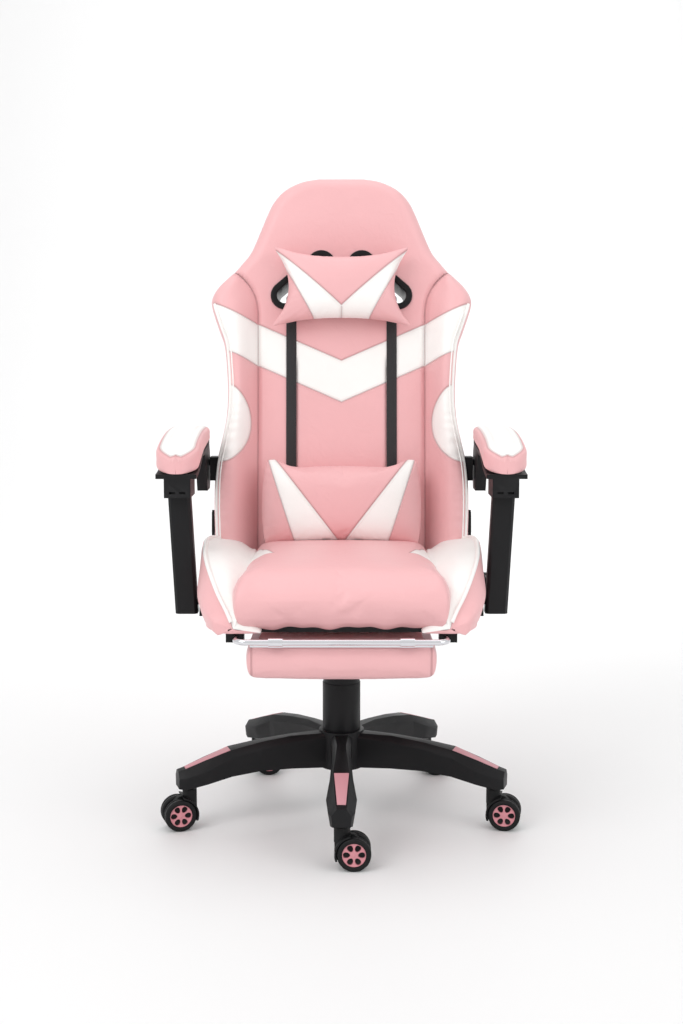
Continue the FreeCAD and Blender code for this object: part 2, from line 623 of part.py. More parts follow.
# ---------------------------------------------------------------- footrest
def make_footrest():
    arm = [("0 - rest_rod_x", "rest_rod_back", "rest_rod_z"),
           ("0 - rest_rod_x", "rest_rod_front", "rest_rod_z"),
           ("rest_rod_x", "rest_rod_front", "rest_rod_z"),
           ("rest_rod_x", "rest_rod_back", "rest_rod_z")]
    bar = bent_tube("footrest_bar", arm, "rest_rod_dia / 2", 18)
    stops = [rod("stop_" + n, 7, 5, (s * val("rest_rod_x"), "rest_rod_back - 5", "rest_rod_z"), Y_AXIS)
             for n, s in SIDES.items()]
    node("footrest_rod", fuse("footrest_rod_all", [bar] + stops))
    middle = "rest_rod_front + 10 + rest_deep / 2"
    board = box("rest_board_sheet", ("rest_wid - 16", "rest_deep - 12", "rest_board"),
                (0, middle, "rest_top - rest_board / 2"))
    clips = []
    for k, x in enumerate((-110, 110)):
        loop = rod(f"clip_loop_{k}", 7.5, 24, (x - 12, "rest_rod_front", "rest_rod_z"), X_AXIS)
        tongue = box(f"clip_tongue_{k}", (24, 34, 3), (x, "rest_rod_front + 17", "rest_top - 1.5"))
        clips.append(fuse(f"clip_{k}", [loop, tongue]))
    hole = rod("clip_bore", "rest_rod_dia / 2 + 0.1", 300, (-150, "rest_rod_front", "rest_rod_z"), X_AXIS)
    node("footrest_board", cut("rest_board_cut", fuse("rest_board_blank", [board] + clips), hole))
    block = box("rest_pad_box", ("rest_wid", "rest_deep", "rest_top - rest_low"),
                (0, middle, "rest_top / 2 + rest_low / 2"))
    soft = rounded("rest_pad_round", block, 14, lambda m, w: m.z < 1 or abs(w.z) > 0.9)
    room = fuse("rest_pad_rooms", [
        box("rest_pad_room", ("rest_wid - 16", "rest_deep - 12", "rest_board + 2"),
            (0, middle, "rest_top - rest_board / 2 + 1")),
        box("clip_room", (262, 24, 30), (0, "rest_rod_front + 6", "rest_top"))])
    node("footrest_pad", cut("rest_pad_cut", soft, room))


# ---------------------------------------------------------------- recliner
def make_recliner():
    for name, s in SIDES.items():
        at = turned(Z_AXIS, 0, (s * val("plate_x + 2.2"), 0, 0))
        lower = body("recliner_lower_" + name, at)
        pad(lower, f"recliner_lower_{name}_pad", "YZ_Plane",
            [(96, "plate_top"), ("hinge_y + 24", "plate_top"), ("hinge_y + 24", "hinge_z + 4", 18),
             ("hinge_y - 24", "hinge_z + 4"), (96, 412)], 4, both_ways=True)
        arms = [box(f"recliner_arm_{name}_{k}", (48, 26, 5), (s * 240, y, "plate_top + 2.5"))
                for k, y in enumerate((112, 166))]
        pin = rod("recliner_pin_" + name, 7, 22, (s * 250, "hinge_y", "hinge_z"), V(s, 0, 0))
        node("recliner_" + name, fuse(f"recliner_{name}_all", [lower, pin] + arms))
        cover = body("recliner_cover_" + name, turned(Z_AXIS, 0, (s * val("plate_x + 9.2"), 0, 0)))
        pad(cover, f"recliner_cover_{name}_pad", "YZ_Plane",
            [(92, "plate_top - 2"), ("hinge_y + 22", "plate_top - 2"), ("hinge_y + 31", "hinge_z - 16"),
             ("hinge_y + 30", "hinge_z + 10"), ("hinge_y + 15", "hinge_z + 27"),
             ("hinge_y - 13", "hinge_z + 27"), ("hinge_y - 34", "hinge_z + 8"), (92, 418)],
            9, both_ways=True)
        soft = rounded(f"cover_round_{name}", cover, 3, lambda m, w, s=s: m.x * s > 4)
        node("recliner_cover_" + name, cut(f"cover_cut_{name}", soft, rod(
            f"cover_pin_room_{name}", 7.1, 14, (s * val("plate_x + 3"), "hinge_y", "hinge_z"),
            V(s, 0, 0))))
    lever = fuse("recline_lever_blank", [
        rod("recline_boss", 15, 9, (276.2, 138, 418), X_AXIS),
        box("recline_arm", (7, 92, 17), (281, 96, 421)),
        box("recline_grip", (13, 44, 22), (284, 40, 421))])
    node("recline_lever", rounded("recline_lever_round", lever, 2.5,
                                  lambda m, w: abs(w.y) > 0.9 and m.y < 60))


# ---------------------------------------------------------------- backrest
BACK_OUTLINE = [
    (188, 10, 9), ("back_half - 8", 56, 6), ("back_half - 6", 214, -14), ("waist_half + 9", 462, -3),
    ("wing_half - 4", 506, 7), ("wing_half - 18", 556, 0), (200, 606, -8),
    (150, 712, 12), (100, 774, 4), (40, "back_high", 0)]
SLOT_ENDS = ((40, 606), (112, 544))


def slot_solid(name, s, radius, start, length):
    """A bar with the section of a slanted slot, that runs along the back's own Y axis."""
    start, length = val(start), val(length)
    (x0, v0), (x1, v1) = SLOT_ENDS
    ends = [rod(f"{name}_end_{k}", radius, length, (s * x, start, v), Y_AXIS, LEANING)
            for k, (x, v) in enumerate(SLOT_ENDS)]
    slant = math.degrees(math.atan2(v0 - v1, s * (x1 - x0)))
    middle = (s * (x0 + x1) / 2, start + length / 2, (v0 + v1) / 2)
    span = math.hypot(x1 - x0, v1 - v0)
    frame = LEANING.multiply(turned(Y_AXIS, slant, middle))
    return fuse(name, ends + [box(name + "_middle", (span, length, f"2 * {radius}"), (0, 0, 0), frame)])


def make_backrest():
    frame = body("back_foam", LEANING)
    pad(frame, "back_foam_pad", "XZ_Plane", mirrored_outline([(str(a), b, c) for a, b, c in BACK_OUTLINE]),
        "back_rear - back_front", offset="0 - back_rear")
    bolsters = []
    for name, s in SIDES.items():
        block = box("back_bolster_" + name, (53, "back_bolster", 408),
                    (s * 212.5, "back_front - back_bolster / 2 + 10", 270), LEANING)
        bolsters.append(rounded(f"back_bolster_round_{name}", block, 18, lambda m, w: m.y < 1))
    foam = fuse("back_foam_all", [frame] + bolsters)
    tools = [slot_solid("slot_room_" + name, s, "bezel_r", -100, 200) for name, s in SIDES.items()]
    for name, s in SIDES.items():
        tools.append(box("back_side_trim_" + name, (30, 200, 900),
                         (s * val("back_half + 15.5"), 0, 0), LEANING))
        tools.append(box("arm_block_room_" + name, (30, 36, 48), (
            s * 247.6, val("hinge_y + link_dy + 4"), val("hinge_z + link_dz - 12"))))
        tools.append(box("upper_plate_room_" + name, (50, 60, 150), (s * 246, 4, 60), LEANING))
    trimmed = cut("back_foam_trim", foam, *tools)
    tubes = frame_tubes("room")
    node("backrest_cushion", cut("back_cushion_cut", trimmed, *tubes))
    node("backrest_frame", fuse("back_frame_all", frame_tubes("steel") + upper_plates()))
    bezels = []
    for name, s in SIDES.items():
        outside = slot_solid("bezel_out_" + name, s, "bezel_r", "back_front - 3",
                             "back_rear - back_front + 6")
        inside = slot_solid("bezel_in_" + name, s, "slot_r", "back_front - 4",
                            "back_rear - back_front + 8")
        bezels.append(cut("bezel_" + name, outside, inside))
    node("harness_bezels", group("bezel_group", bezels))
    arm_blocks = []
    for name, s in SIDES.items():
        pivot_y, pivot_z = val("hinge_y + link_dy"), val("hinge_z + link_dz")
        block = box("arm_block_" + name, (24.5, 34, 46), (s * 245.1, pivot_y + 4, pivot_z - 12))
        pin = rod("arm_block_pin_" + name, 6, 26, (s * 253, pivot_y, pivot_z), V(s, 0, 0))
        arm_blocks.append(fuse("arm_block_all_" + name, [block, pin]))
    node("back_arm_blocks", group("arm_block_group", arm_blocks))


def frame_tubes(suffix):
    """The bent steel tube inside the foam, with three cross bars."""
    hoop = bent_tube("back_hoop_" + suffix, [
        (-228, 8, -6), (-222, 8, 230), (-196, 8, 330), (-196, 8, 520), (-84, 8, 716), (84, 8, 716),
        (196, 8, 520), (196, 8, 330), (222, 8, 230), (228, 8, -6)], "frame_dia / 2", 40, LEANING)
    bars = []
    for k, (v, half) in enumerate(((60, 226), (300, 204), (490, 196))):
        bars.append(rod(f"back_bar_{suffix}_{k}", 7, 2 * half, (-half, 8, v), X_AXIS, LEANING))
    return [hoop] + bars


def upper_plates():
    """The hinge plates that the hoop is welded to."""
    plates = []
    for name, s in SIDES.items():
        plate = body("upper_plate_" + name, LEANING.multiply(turned(Z_AXIS, 0, (s * 255, 0, 0))))
        pad(plate, f"upper_plate_{name}_pad", "YZ_Plane",
            [(-18, 0, 17), (18, 0), (22, 120), (-6, 120)], 4, both_ways=True)
        tie = box("upper_tie_" + name, (36, 20, 40), (s * 240, 8, 96), LEANING)
        hole = rod("upper_hole_" + name, 7.05, 20, (s * 248, 0, 0), V(s, 0, 0), LEANING)
        plates.append(cut("upper_plate_cut_" + name, fuse("upper_plate_all_" + name, [plate, tie]), hole))
    return plates


def make_straps():
    """Elastic webbing: two loops that hold the lumbar pillow, and one for the head pillow."""
    loops = []
    front, rear = "back_front - 6", "back_rear + 4"
    for name, s in SIDES.items():
        loop = body("strap_" + name, LEANING.multiply(turned(Z_AXIS, 0, (s * 99, 0, 0))))
        pad(loop, f"strap_{name}_pad", "YZ_Plane",
            [(front, 4), (rear + " + strap_thick", 4), (rear + " + strap_thick", 556), (front, 556)],
            "strap_wid", both_ways=True)
        pocket_through(loop, f"strap_{name}_hole", "YZ_Plane",
                       [("back_front - 4", 6), (rear, 6), (rear, 554), ("back_front - 4", 554)], 60)
        loops.append(loop)
    band = body("head_band", LEANING.multiply(turned(Z_AXIS, 0, (0, 0, 596))))
    pad(band, "head_band_pad", "XY_Plane",
        [(-62, "back_front - 7"), (62, "back_front - 7"), (62, "back_rear + 6"), (-62, "back_rear + 6")],
        "strap_wid", both_ways=True)
    pocket_through(band, "head_band_hole", "XY_Plane",
                   [(-60, "back_front - 5"), (60, "back_front - 5"), (60, "back_rear + 4"),
                    (-60, "back_rear + 4")], 60)
    node("pillow_straps", group("strap_group", loops + [band]))


def make_pillows():
    head = box("head_box", ("head_wid", "head_deep", "head_high"),
               (0, "back_front - 14 - head_deep / 2", 549), LEANING)
    node("head_pillow", rounded("head_round", head, 34, lambda m, w: m.y < 1 or abs(w.z) > 0.9))
    lumbar = box("lumbar_box", ("lumbar_wid", "lumbar_deep", "lumbar_high"),
                 (0, "back_front - 7 - lumbar_deep / 2", 136), LEANING)
    node("lumbar_pillow", rounded("lumbar_round", lumbar, 34, lambda m, w: m.y < 1 or abs(w.z) > 0.9))


# ---------------------------------------------------------------- armrests
def make_arm(name, s):
    centre = s * val("arm_x")
    pivot_y, pivot_z = val("hinge_y + link_dy"), val("hinge_z + link_dz")
    # tray: a curved strip that droops towards the front
    tray = body("tray_" + name, turned(Z_AXIS, 0, (centre, 0, 0)))
    pad(tray, f"tray_{name}_pad", "YZ_Plane",
        [("arm_front + 2", 640, 6), (20, 670, 5), ("arm_back", 684), ("arm_back", 692, -5),
         (20, 678, -6), ("arm_front + 2", 648)], "arm_wid - 4", both_ways=True)
    hood_wide = "post_wid + 2 * hood_wall + 1"
    post_top_y = val("post_y + link_dy")
    hood_y = post_top_y + val("hood_rear / 2 - hood_front / 2")
    hood = box("hood_" + name, (hood_wide, "hood_front + hood_rear", 85),
               (s * (val("arm_x") - 2), hood_y, "hood_low + 42.5"))
    room = box("hood_room_" + name, ("post_wid + 1", "hood_front + hood_rear - 2 * hood_wall", 96),
               (s * (val("arm_x") - 2), hood_y, "hood_low - 4"))
    above = body("above_tray_" + name, turned(Z_AXIS, 0, (centre, 0, 0)))
    pad(above, f"above_tray_{name}_pad", "YZ_Plane",
        [("arm_front - 20", 630), ("arm_front + 2", 644, 6), (20, 674, 5), ("arm_back", 688),
         ("arm_back + 60", 700), ("arm_back + 60", 780), ("arm_front - 20", 780)], 140, both_ways=True)
    bracket = body("arm_rear_" + name, turned(Z_AXIS, 0, (s * val("back_half + 19"), 0, 0)))
    pad(bracket, f"arm_rear_{name}_pad", "YZ_Plane",
        [(pivot_y - 40, 592), (pivot_y + 12, 592, 6), (pivot_y + 20, pivot_z + 10, 14),
         ("arm_back + 4", 688), ("arm_back - 52", 682)], 20, both_ways=True)
    vents = [box(f"hood_vent_{name}_{k}", (11, 12, 4), (
        s * (val("arm_x") - 2) + x, val("post_y + link_dy - hood_front"), "hood_low + 9"))
        for k, x in enumerate((-9, 9))]
    hollowed = cut("hood_open_" + name, hood, room, above, *vents)
    pins = rod("hood_pin_" + name, 5, hood_wide, (s * (val("arm_x") - 2) - s * val(hood_wide) / 2,
                                                  post_top_y, val("post_z + link_dz")), V(s, 0, 0))
    solid = fuse("arm_all_" + name, [tray, hollowed, bracket, pins])
    bore = rod("arm_bore_" + name, 6.1, 40, (s * val("back_half + 5"), pivot_y, pivot_z), V(s, 0, 0))
    node("armrest_" + name, cut("arm_cut_" + name, solid, bore))
    cushion = body("arm_pad_" + name, turned(Z_AXIS, 0, (centre, 0, 0)))
    pad(cushion, f"arm_pad_{name}_pad", "YZ_Plane",
        [("arm_front", 648.3, 6), (20, 678.3, 5), ("arm_back", 692.3), ("arm_back", 719),
         (60, 717), (-20, 708), ("arm_front + 14", 688), ("arm_front", 676)], "arm_wid", both_ways=True)
    node("armrest_pad_" + name, rounded("arm_pad_round_" + name, cushion, 6,
                                        lambda m, w: abs(abs(m.x) - 38) < 0.5 and m.z > 687))


def make_post(name, s):
    """The post that holds the front of an armrest: it swings on the seat and inside the hood."""
    centre = s * (val("arm_x") - 2)
    low, shoulder = "post_z - 20", "post_z + link_dz + 4"
    foot = s * (val("arm_x") - 12)
    post = body("post_" + name)
    half, deep = val("post_wid / 2"), val("post_deep / 2")
    lean_y = val("link_dy")
    # the top narrows to an edge that clears the tray when the back reclines
    sections = [(low, foot, 0, deep), ("hood_low - 6", centre, lean_y, deep),
                (shoulder, centre, lean_y, deep), (shoulder + " + 8", centre, lean_y, deep / 2)]
    drawn = []
    for at, x, dy, half_deep in sections:
        y = val("post_y") + dy
        corners = ((-1, -1, 5, 0), (1, -1, -5, 0), (1, -1, 0, 5), (1, 1, 0, -5),
                   (1, 1, -5, 0), (-1, 1, 5, 0), (-1, 1, 0, -5), (-1, -1, 0, 5))
        drawn.append((at, [(x + a * half + dx, y + b * half_deep + dv) for a, b, dx, dv in corners]))
    loft(post, f"post_{name}_loft", "XY_Plane", drawn)
    holes = [rod("post_hole_top_" + name, 5.1, 80, (centre - s * 40, val("post_y + link_dy"),
                                                    val("post_z + link_dz")), V(s, 0, 0)),
             rod("post_hole_low_" + name, 5.1, 34, (foot - s * 26, "post_y", "post_z"), V(s, 0, 0))]
    node("arm_post_" + name, cut("post_cut_" + name, post, *holes))


# ---------------------------------------------------------------- the whole chair
make_base()
make_stems()
for number in range(5):
    make_caster(number)
make_column()
make_mechanism()
make_tilt_spring()
make_knob()
make_lever()
make_plate()
make_seat_frame()
make_seat_cushion()
make_footrest_guides()
make_arm_brackets()
make_footrest()
make_recliner()
make_backrest()
make_straps()
make_pillows()
for side_name, side_sign in SIDES.items():
    make_arm(side_name, side_sign)
    make_post(side_name, side_sign)

doc.recompute()
failed = [o.Name for o in doc.Objects if "Invalid" in o.State or "Error" in o.State]
if failed:
    raise RuntimeError(f"these objects failed: {failed}")
for label, obj in NODES.items():
    if obj.Shape.isNull() or not obj.Shape.isValid() or not obj.Shape.Solids:
        raise RuntimeError(f"{label} has no valid solid")
os.makedirs("parts", exist_ok=True)
for stale in os.listdir("parts"):
    os.remove(os.path.join("parts", stale))
for label, obj in NODES.items():
    obj.Shape.exportStep(f"parts/{label}.step")
    print(label, len(obj.Shape.Solids), "solids", round(obj.Shape.Volume / 1000, 1), "cm3")
print(len(NODES), "nodes")
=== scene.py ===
"""Studio model of a pink and white gaming chair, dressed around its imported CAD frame.

Units are metres, +Z is up and the front of the seat faces -Y. Each sub-assembly is a class that
holds its sizes as fields and builds its own pieces. Soft pieces are closed parametric forms,
and the pillows and pads are then inflated as cloth.
"""
import json
import logging
import math
from dataclasses import dataclass
from enum import Enum
from typing import Callable, Sequence

import bmesh
import bpy
import numpy as np
from mathutils import Matrix, Vector
from mathutils.kdtree import KDTree


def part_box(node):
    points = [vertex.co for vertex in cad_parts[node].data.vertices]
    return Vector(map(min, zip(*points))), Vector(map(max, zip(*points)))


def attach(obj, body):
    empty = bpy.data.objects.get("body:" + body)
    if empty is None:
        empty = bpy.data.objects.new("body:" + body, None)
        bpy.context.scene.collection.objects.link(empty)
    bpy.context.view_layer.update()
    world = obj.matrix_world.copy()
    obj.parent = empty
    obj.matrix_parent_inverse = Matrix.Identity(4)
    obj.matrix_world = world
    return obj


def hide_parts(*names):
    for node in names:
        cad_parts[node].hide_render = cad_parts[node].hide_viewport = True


LOG = logging.getLogger("gaming_chair")
Array = np.ndarray
Object = bpy.types.Object
Material = bpy.types.Material
SIDES = {"left": -1, "right": 1}

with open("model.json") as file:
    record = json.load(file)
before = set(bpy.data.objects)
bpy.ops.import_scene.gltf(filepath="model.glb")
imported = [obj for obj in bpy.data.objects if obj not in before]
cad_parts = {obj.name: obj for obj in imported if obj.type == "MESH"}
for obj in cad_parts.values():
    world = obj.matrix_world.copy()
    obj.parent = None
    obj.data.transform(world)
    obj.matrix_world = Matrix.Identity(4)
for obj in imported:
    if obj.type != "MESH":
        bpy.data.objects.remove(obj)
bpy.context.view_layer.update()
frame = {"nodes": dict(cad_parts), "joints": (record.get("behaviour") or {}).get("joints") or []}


# ---------------------------------------------------------------- mesh building
def link_mesh(name: str, verts: Array, faces: Sequence, smooth: bool = True) -> Object:
    """Makes a mesh object from vertices and faces.

    Args:
        name: the object's name.
        verts: an (n, 3) array of positions.
        faces: vertex indices of each face.
        smooth: whether the faces are shaded smooth.

    Returns:
        The new object, linked to the scene.
    """
    mesh = bpy.data.meshes.new(name)
    mesh.from_pydata(np.asarray(verts, float).reshape(-1, 3).tolist(), [], [tuple(f) for f in faces])
    mesh.polygons.foreach_set("use_smooth", np.full(len(mesh.polygons), smooth))
    obj = bpy.data.objects.new(name, mesh)
    bpy.context.scene.collection.objects.link(obj)
    return obj


def grid_faces(rows: int, columns: int) -> Array:
    """The four corners of each cell of a grid of rows * columns points."""
    index = np.arange(rows * columns).reshape(rows, columns)
    corners = [index[:-1, :-1], index[:-1, 1:], index[1:, 1:], index[1:, :-1]]
    return np.stack(corners, -1).reshape(-1, 4)


def face_outwards(obj: Object) -> Object:
    """Merges coincident vertices and turns all faces outwards."""
    work = bmesh.new()
    work.from_mesh(obj.data)
    bmesh.ops.remove_doubles(work, verts=work.verts, dist=2e-6)
    bmesh.ops.recalc_face_normals(work, faces=work.faces)
    work.to_mesh(obj.data)
    work.free()
    return obj


def skin(name: str, rings: Array, closed: bool = False, smooth: bool = True) -> Object:
    """Skins rings of points into one closed surface.

    Each ring is a closed loop. Neighbouring rings are joined by quads; the first and last ring
    are closed by a fan around their mean, or joined to each other when closed is set.

    Args:
        name: the object's name.
        rings: an (n, m, 3) array of n loops of m points.
        closed: whether the last ring joins the first one.
        smooth: whether the faces are shaded smooth.

    Returns:
        The new object.
    """
    count, around = rings.shape[:2]
    index = np.arange(count * around).reshape(count, around)
    low = index if closed else index[:-1]
    high = np.roll(index, -1, 0) if closed else index[1:]
    quads = np.stack([low, np.roll(low, -1, 1), np.roll(high, -1, 1), high], -1).reshape(-1, 4).tolist()
    verts = rings.reshape(-1, 3)
    if not closed:
        verts = np.vstack([verts, rings[0].mean(0), rings[-1].mean(0)])
        first, last = count * around, count * around + 1
        for k in range(around):
            after = (k + 1) % around
            quads.append((first, index[0, after], index[0, k]))
            quads.append((last, index[-1, k], index[-1, after]))
    return face_outwards(link_mesh(name, verts, quads, smooth))


def smooth_path(points: Sequence, count: int, closed: bool = False) -> Array:
    """Samples a Catmull-Rom curve through the points, evenly by knot.

    Args:
        points: the points that the curve passes through.
        count: the number of samples.
        closed: whether the curve returns to its first point.

    Returns:
        A (count, d) array.
    """
    knots = np.asarray(points, float)
    total = len(knots) if closed else len(knots) - 1
    at = np.linspace(0, total, count, endpoint=not closed)
    low = np.minimum(np.floor(at).astype(int), total - 1)
    t = (at - low)[:, None]

    def knot(shift: int) -> Array:
        """The knots a number of places on, kept within an open curve."""
        spot = low + shift
        return knots[spot % len(knots)] if closed else knots[np.clip(spot, 0, len(knots) - 1)]

    a, b, c, d = knot(-1), knot(0), knot(1), knot(2)
    return 0.5 * (2 * b + (c - a) * t + (2 * a - 5 * b + 4 * c - d) * t ** 2
                  + (3 * b - a - 3 * c + d) * t ** 3)


def rounded_path(points: Sequence, radius: float, steps: int = 6, closed: bool = False) -> Array:
    """Rounds a polyline's corners with quadratic bends.

    Args:
        points: the corners.
        radius: how far from a corner its bend starts.
        steps: the points in each bend.
        closed: whether the line returns to its first point.

    Returns:
        An (n, 3) array.
    """
    knots = np.asarray(points, float)
    count = len(knots)
    result = []
    for i in range(count):
        if not closed and i in (0, count - 1):
            result.append(knots[i])
            continue
        before, here, after = knots[i - 1], knots[i], knots[(i + 1) % count]
        reach_in = min(radius, np.linalg.norm(before - here) * 0.45)
        reach_out = min(radius, np.linalg.norm(after - here) * 0.45)
        start = here + (before - here) / np.linalg.norm(before - here) * reach_in
        end = here + (after - here) / np.linalg.norm(after - here) * reach_out
        for t in np.linspace(0, 1, steps):
            result.append((1 - t) ** 2 * start + 2 * t * (1 - t) * here + t ** 2 * end)
    return np.array(result)


def sweep(name: str, path: Array, section: Array, closed: bool = False,
          side: Vector | None = None, smooth: bool = True) -> Object:
    """Sweeps a closed section along a path without twisting it.

    Args:
        name: the object's name.
        path: an (n, 3) array of points.
        section: an (m, 2) array of offsets, first along the side, then along the third axis.
        closed: whether the path is a loop.
        side: the direction of the section's first axis; any normal to the path if left out.
        smooth: whether the faces are shaded smooth.

    Returns:
        The new object.
    """
    if closed:
        tangents = np.roll(path, -1, 0) - np.roll(path, 1, 0)
    else:
        tangents = np.gradient(path, axis=0)
    tangents /= np.linalg.norm(tangents, axis=1)[:, None]
    if side is not None:
        first = np.tile(np.array(side, float), (len(path), 1))
    else:
        seed = np.array([0, 0, 1.0]) if abs(tangents[0][2]) < 0.8 else np.array([1.0, 0, 0])
        first = np.zeros_like(path)
        for i, way in enumerate(tangents):
            seed = seed - way * seed.dot(way)
            seed /= np.linalg.norm(seed)
            first[i] = seed
    first = first - tangents * (first * tangents).sum(1)[:, None]
    first /= np.linalg.norm(first, axis=1)[:, None]
    second = np.cross(tangents, first)
    rings = (path[:, None] + section[None, :, 0, None] * first[:, None]
             + section[None, :, 1, None] * second[:, None])
    return skin(name, rings, closed, smooth)


def circle(radius: float, sides: int = 14) -> Array:
    """Points of a circle, for a sweep."""
    angles = np.linspace(0, 2 * np.pi, sides, endpoint=False)
    return np.stack([np.cos(angles), np.sin(angles)], 1) * radius


def strip_section(width: float, thick: float) -> Array:
    """A flat band's section, with rounded edges."""
    half, high = width / 2, thick / 2
    return np.array([(-half, 0), (-half + high, -high), (0, -high * 1.1), (half - high, -high),
                     (half, 0), (half - high, high), (0, high * 1.1), (-half + high, high)])


def lathe(name: str, profile: Sequence, sides: int = 48, smooth: bool = True) -> Object:
    """Turns a profile of (radius, height) pairs around Z, closed at both ends."""
    outline = np.asarray(profile, float)
    angles = np.linspace(0, 2 * np.pi, sides, endpoint=False)
    rings = np.stack([outline[:, 0, None] * np.cos(angles), outline[:, 0, None] * np.sin(angles),
                      np.repeat(outline[:, 1, None], sides, 1)], -1)
    return skin(name, rings, False, smooth)


def apply_modifiers(obj: Object) -> Object:
    """Bakes an object's modifiers into its mesh."""
    bpy.context.view_layer.update()
    graph = bpy.context.evaluated_depsgraph_get()
    mesh = bpy.data.meshes.new_from_object(obj.evaluated_get(graph))
    obj.modifiers.clear()
    old = obj.data
    obj.data = mesh
    bpy.data.meshes.remove(old)
    return obj


def bevel(obj: Object, width: float, segments: int = 3, angle: float = 32) -> Object:
    """Rounds the edges sharper than an angle, and keeps flat faces flat in the shading."""
    mod = obj.modifiers.new("bevel", "BEVEL")
    mod.width = width
    mod.segments = segments
    mod.limit_method = "ANGLE"
    mod.angle_limit = math.radians(angle)
    mod.harden_normals = True
    mod.use_clamp_overlap = True
    return apply_modifiers(obj)


def place(obj: Object, matrix: Matrix) -> Object:
    """Moves an object's mesh, so that its own placement stays at the origin."""
    obj.data.transform(matrix)
    obj.data.update()
    return obj


def refined(node: str, width: float, segments: int = 3) -> Object:
    """A copy of a CAD node's shape with its edges rounded.

    Args:
        node: the CAD node's name.
        width: the width of the rounding.
        segments: the segments of the rounding.

    Returns:
        The new piece, which stands for the node.
    """
    copy = bpy.data.objects.new(node + "_moulding", frame["nodes"][node].data.copy())
    bpy.context.scene.collection.objects.link(copy)
    work = bmesh.new()
    work.from_mesh(copy.data)
    bmesh.ops.remove_doubles(work, verts=work.verts, dist=1e-5)
    bmesh.ops.dissolve_limit(work, angle_limit=math.radians(1.0), verts=work.verts,
                             edges=work.edges)
    work.to_mesh(copy.data)
    work.free()
    copy.data.polygons.foreach_set("use_smooth", np.ones(len(copy.data.polygons), bool))
    bevel(copy, width, segments)
    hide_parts(node)
    return copy


def coords(obj: Object) -> Array:
    """An object's vertex positions as an (n, 3) array."""
    flat = np.empty(len(obj.data.vertices) * 3)
    obj.data.vertices.foreach_get("co", flat)
    return flat.reshape(-1, 3)


def set_coords(obj: Object, positions: Array) -> None:
    """Writes an object's vertex positions."""
    obj.data.vertices.foreach_set("co", positions.ravel())
    obj.data.update()


def store(obj: Object, name: str, values: Array) -> None:
    """Stores one vector per vertex as an attribute that a material can read."""
    layer = obj.data.attributes.get(name) or obj.data.attributes.new(name, "FLOAT_VECTOR", "POINT")
    layer.data.foreach_set("vector", np.ascontiguousarray(values, float).ravel())


def kd_tree(points: Array) -> KDTree:
    """A search tree over points."""
    tree = KDTree(len(points))
    for number, point in enumerate(points):
        tree.insert(point, number)
    tree.balance()
    return tree


def store_nearest(obj: Object, name: str, source: Array, facts: Array) -> None:
    """Stores on each vertex the facts of the nearest source point."""
    tree = kd_tree(source)
    nearest = np.array([tree.find(Vector(p))[1] for p in coords(obj)])
    store(obj, name, facts[nearest])


def nearest_distance(points: Array, loop: Array) -> Array:
    """The distance from each 2-D point to a closed polyline."""
    best = np.full(len(points), 1e9)
    for start, end in zip(loop, np.roll(loop, -1, 0)):
        way = end - start
        k = np.clip(((points - start) @ way) / max(way @ way, 1e-12), 0, 1)
        best = np.minimum(best, np.linalg.norm(points - start - k[:, None] * way, axis=1))
    return best


def finish_piece(obj: Object, body: str, finish: Material) -> Object:
    """Gives a piece its material and the body it rides on, and reports it."""
    obj.data.materials.clear()
    obj.data.materials.append(finish)
    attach(obj, body)
    LOG.info("%s: %d faces on %s", obj.name, len(obj.data.polygons), body)
    return obj


@dataclass
class Inflation:
    """Fills a closed form with air as cloth, so that it swells and creases like a stuffed one."""

    voxel: float = 0.005
    pressure: float = 4.0
    cap: float = 0.022
    frames: int = 20
    tension: float = 15.0

    def run(self, obj: Object) -> Object:
        """Remeshes, inflates and subdivides a piece; its rest shape stays slightly inside.

        Args:
            obj: the closed form.

        Returns:
            The same object with its new mesh.
        """
        remesh = obj.modifiers.new("remesh", "REMESH")
        remesh.mode = "VOXEL"
        remesh.voxel_size = self.voxel
        remesh.use_smooth_shade = True
        apply_modifiers(obj)
        start = coords(obj)
        cloth = obj.modifiers.new("cloth", "CLOTH")
        cloth.settings.quality = 5
        cloth.settings.use_pressure = True
        cloth.settings.uniform_pressure_force = self.pressure
        cloth.settings.effector_weights.gravity = 0
        cloth.settings.tension_stiffness = self.tension
        cloth.settings.compression_stiffness = self.tension
        cloth.point_cache.frame_start = 1
        cloth.point_cache.frame_end = self.frames
        for number in range(1, self.frames + 1):
            bpy.context.scene.frame_set(number)
        graph = bpy.context.evaluated_depsgraph_get()
        shape = obj.evaluated_get(graph).to_mesh()
        flat = np.empty(len(shape.vertices) * 3)
        shape.vertices.foreach_get("co", flat)
        obj.modifiers.clear()
        bpy.context.scene.frame_set(1)
        move = flat.reshape(-1, 3) - start
        length = np.linalg.norm(move, axis=1)[:, None]
        limit = self.cap * np.tanh(length / self.cap) / np.maximum(length, 1e-9)
        set_coords(obj, start + move * limit)
        subsurf = obj.modifiers.new("subdivision", "SUBSURF")
        subsurf.levels = 1
        apply_modifiers(obj)
        obj.data.polygons.foreach_set("use_smooth", np.ones(len(obj.data.polygons), bool))
        return obj


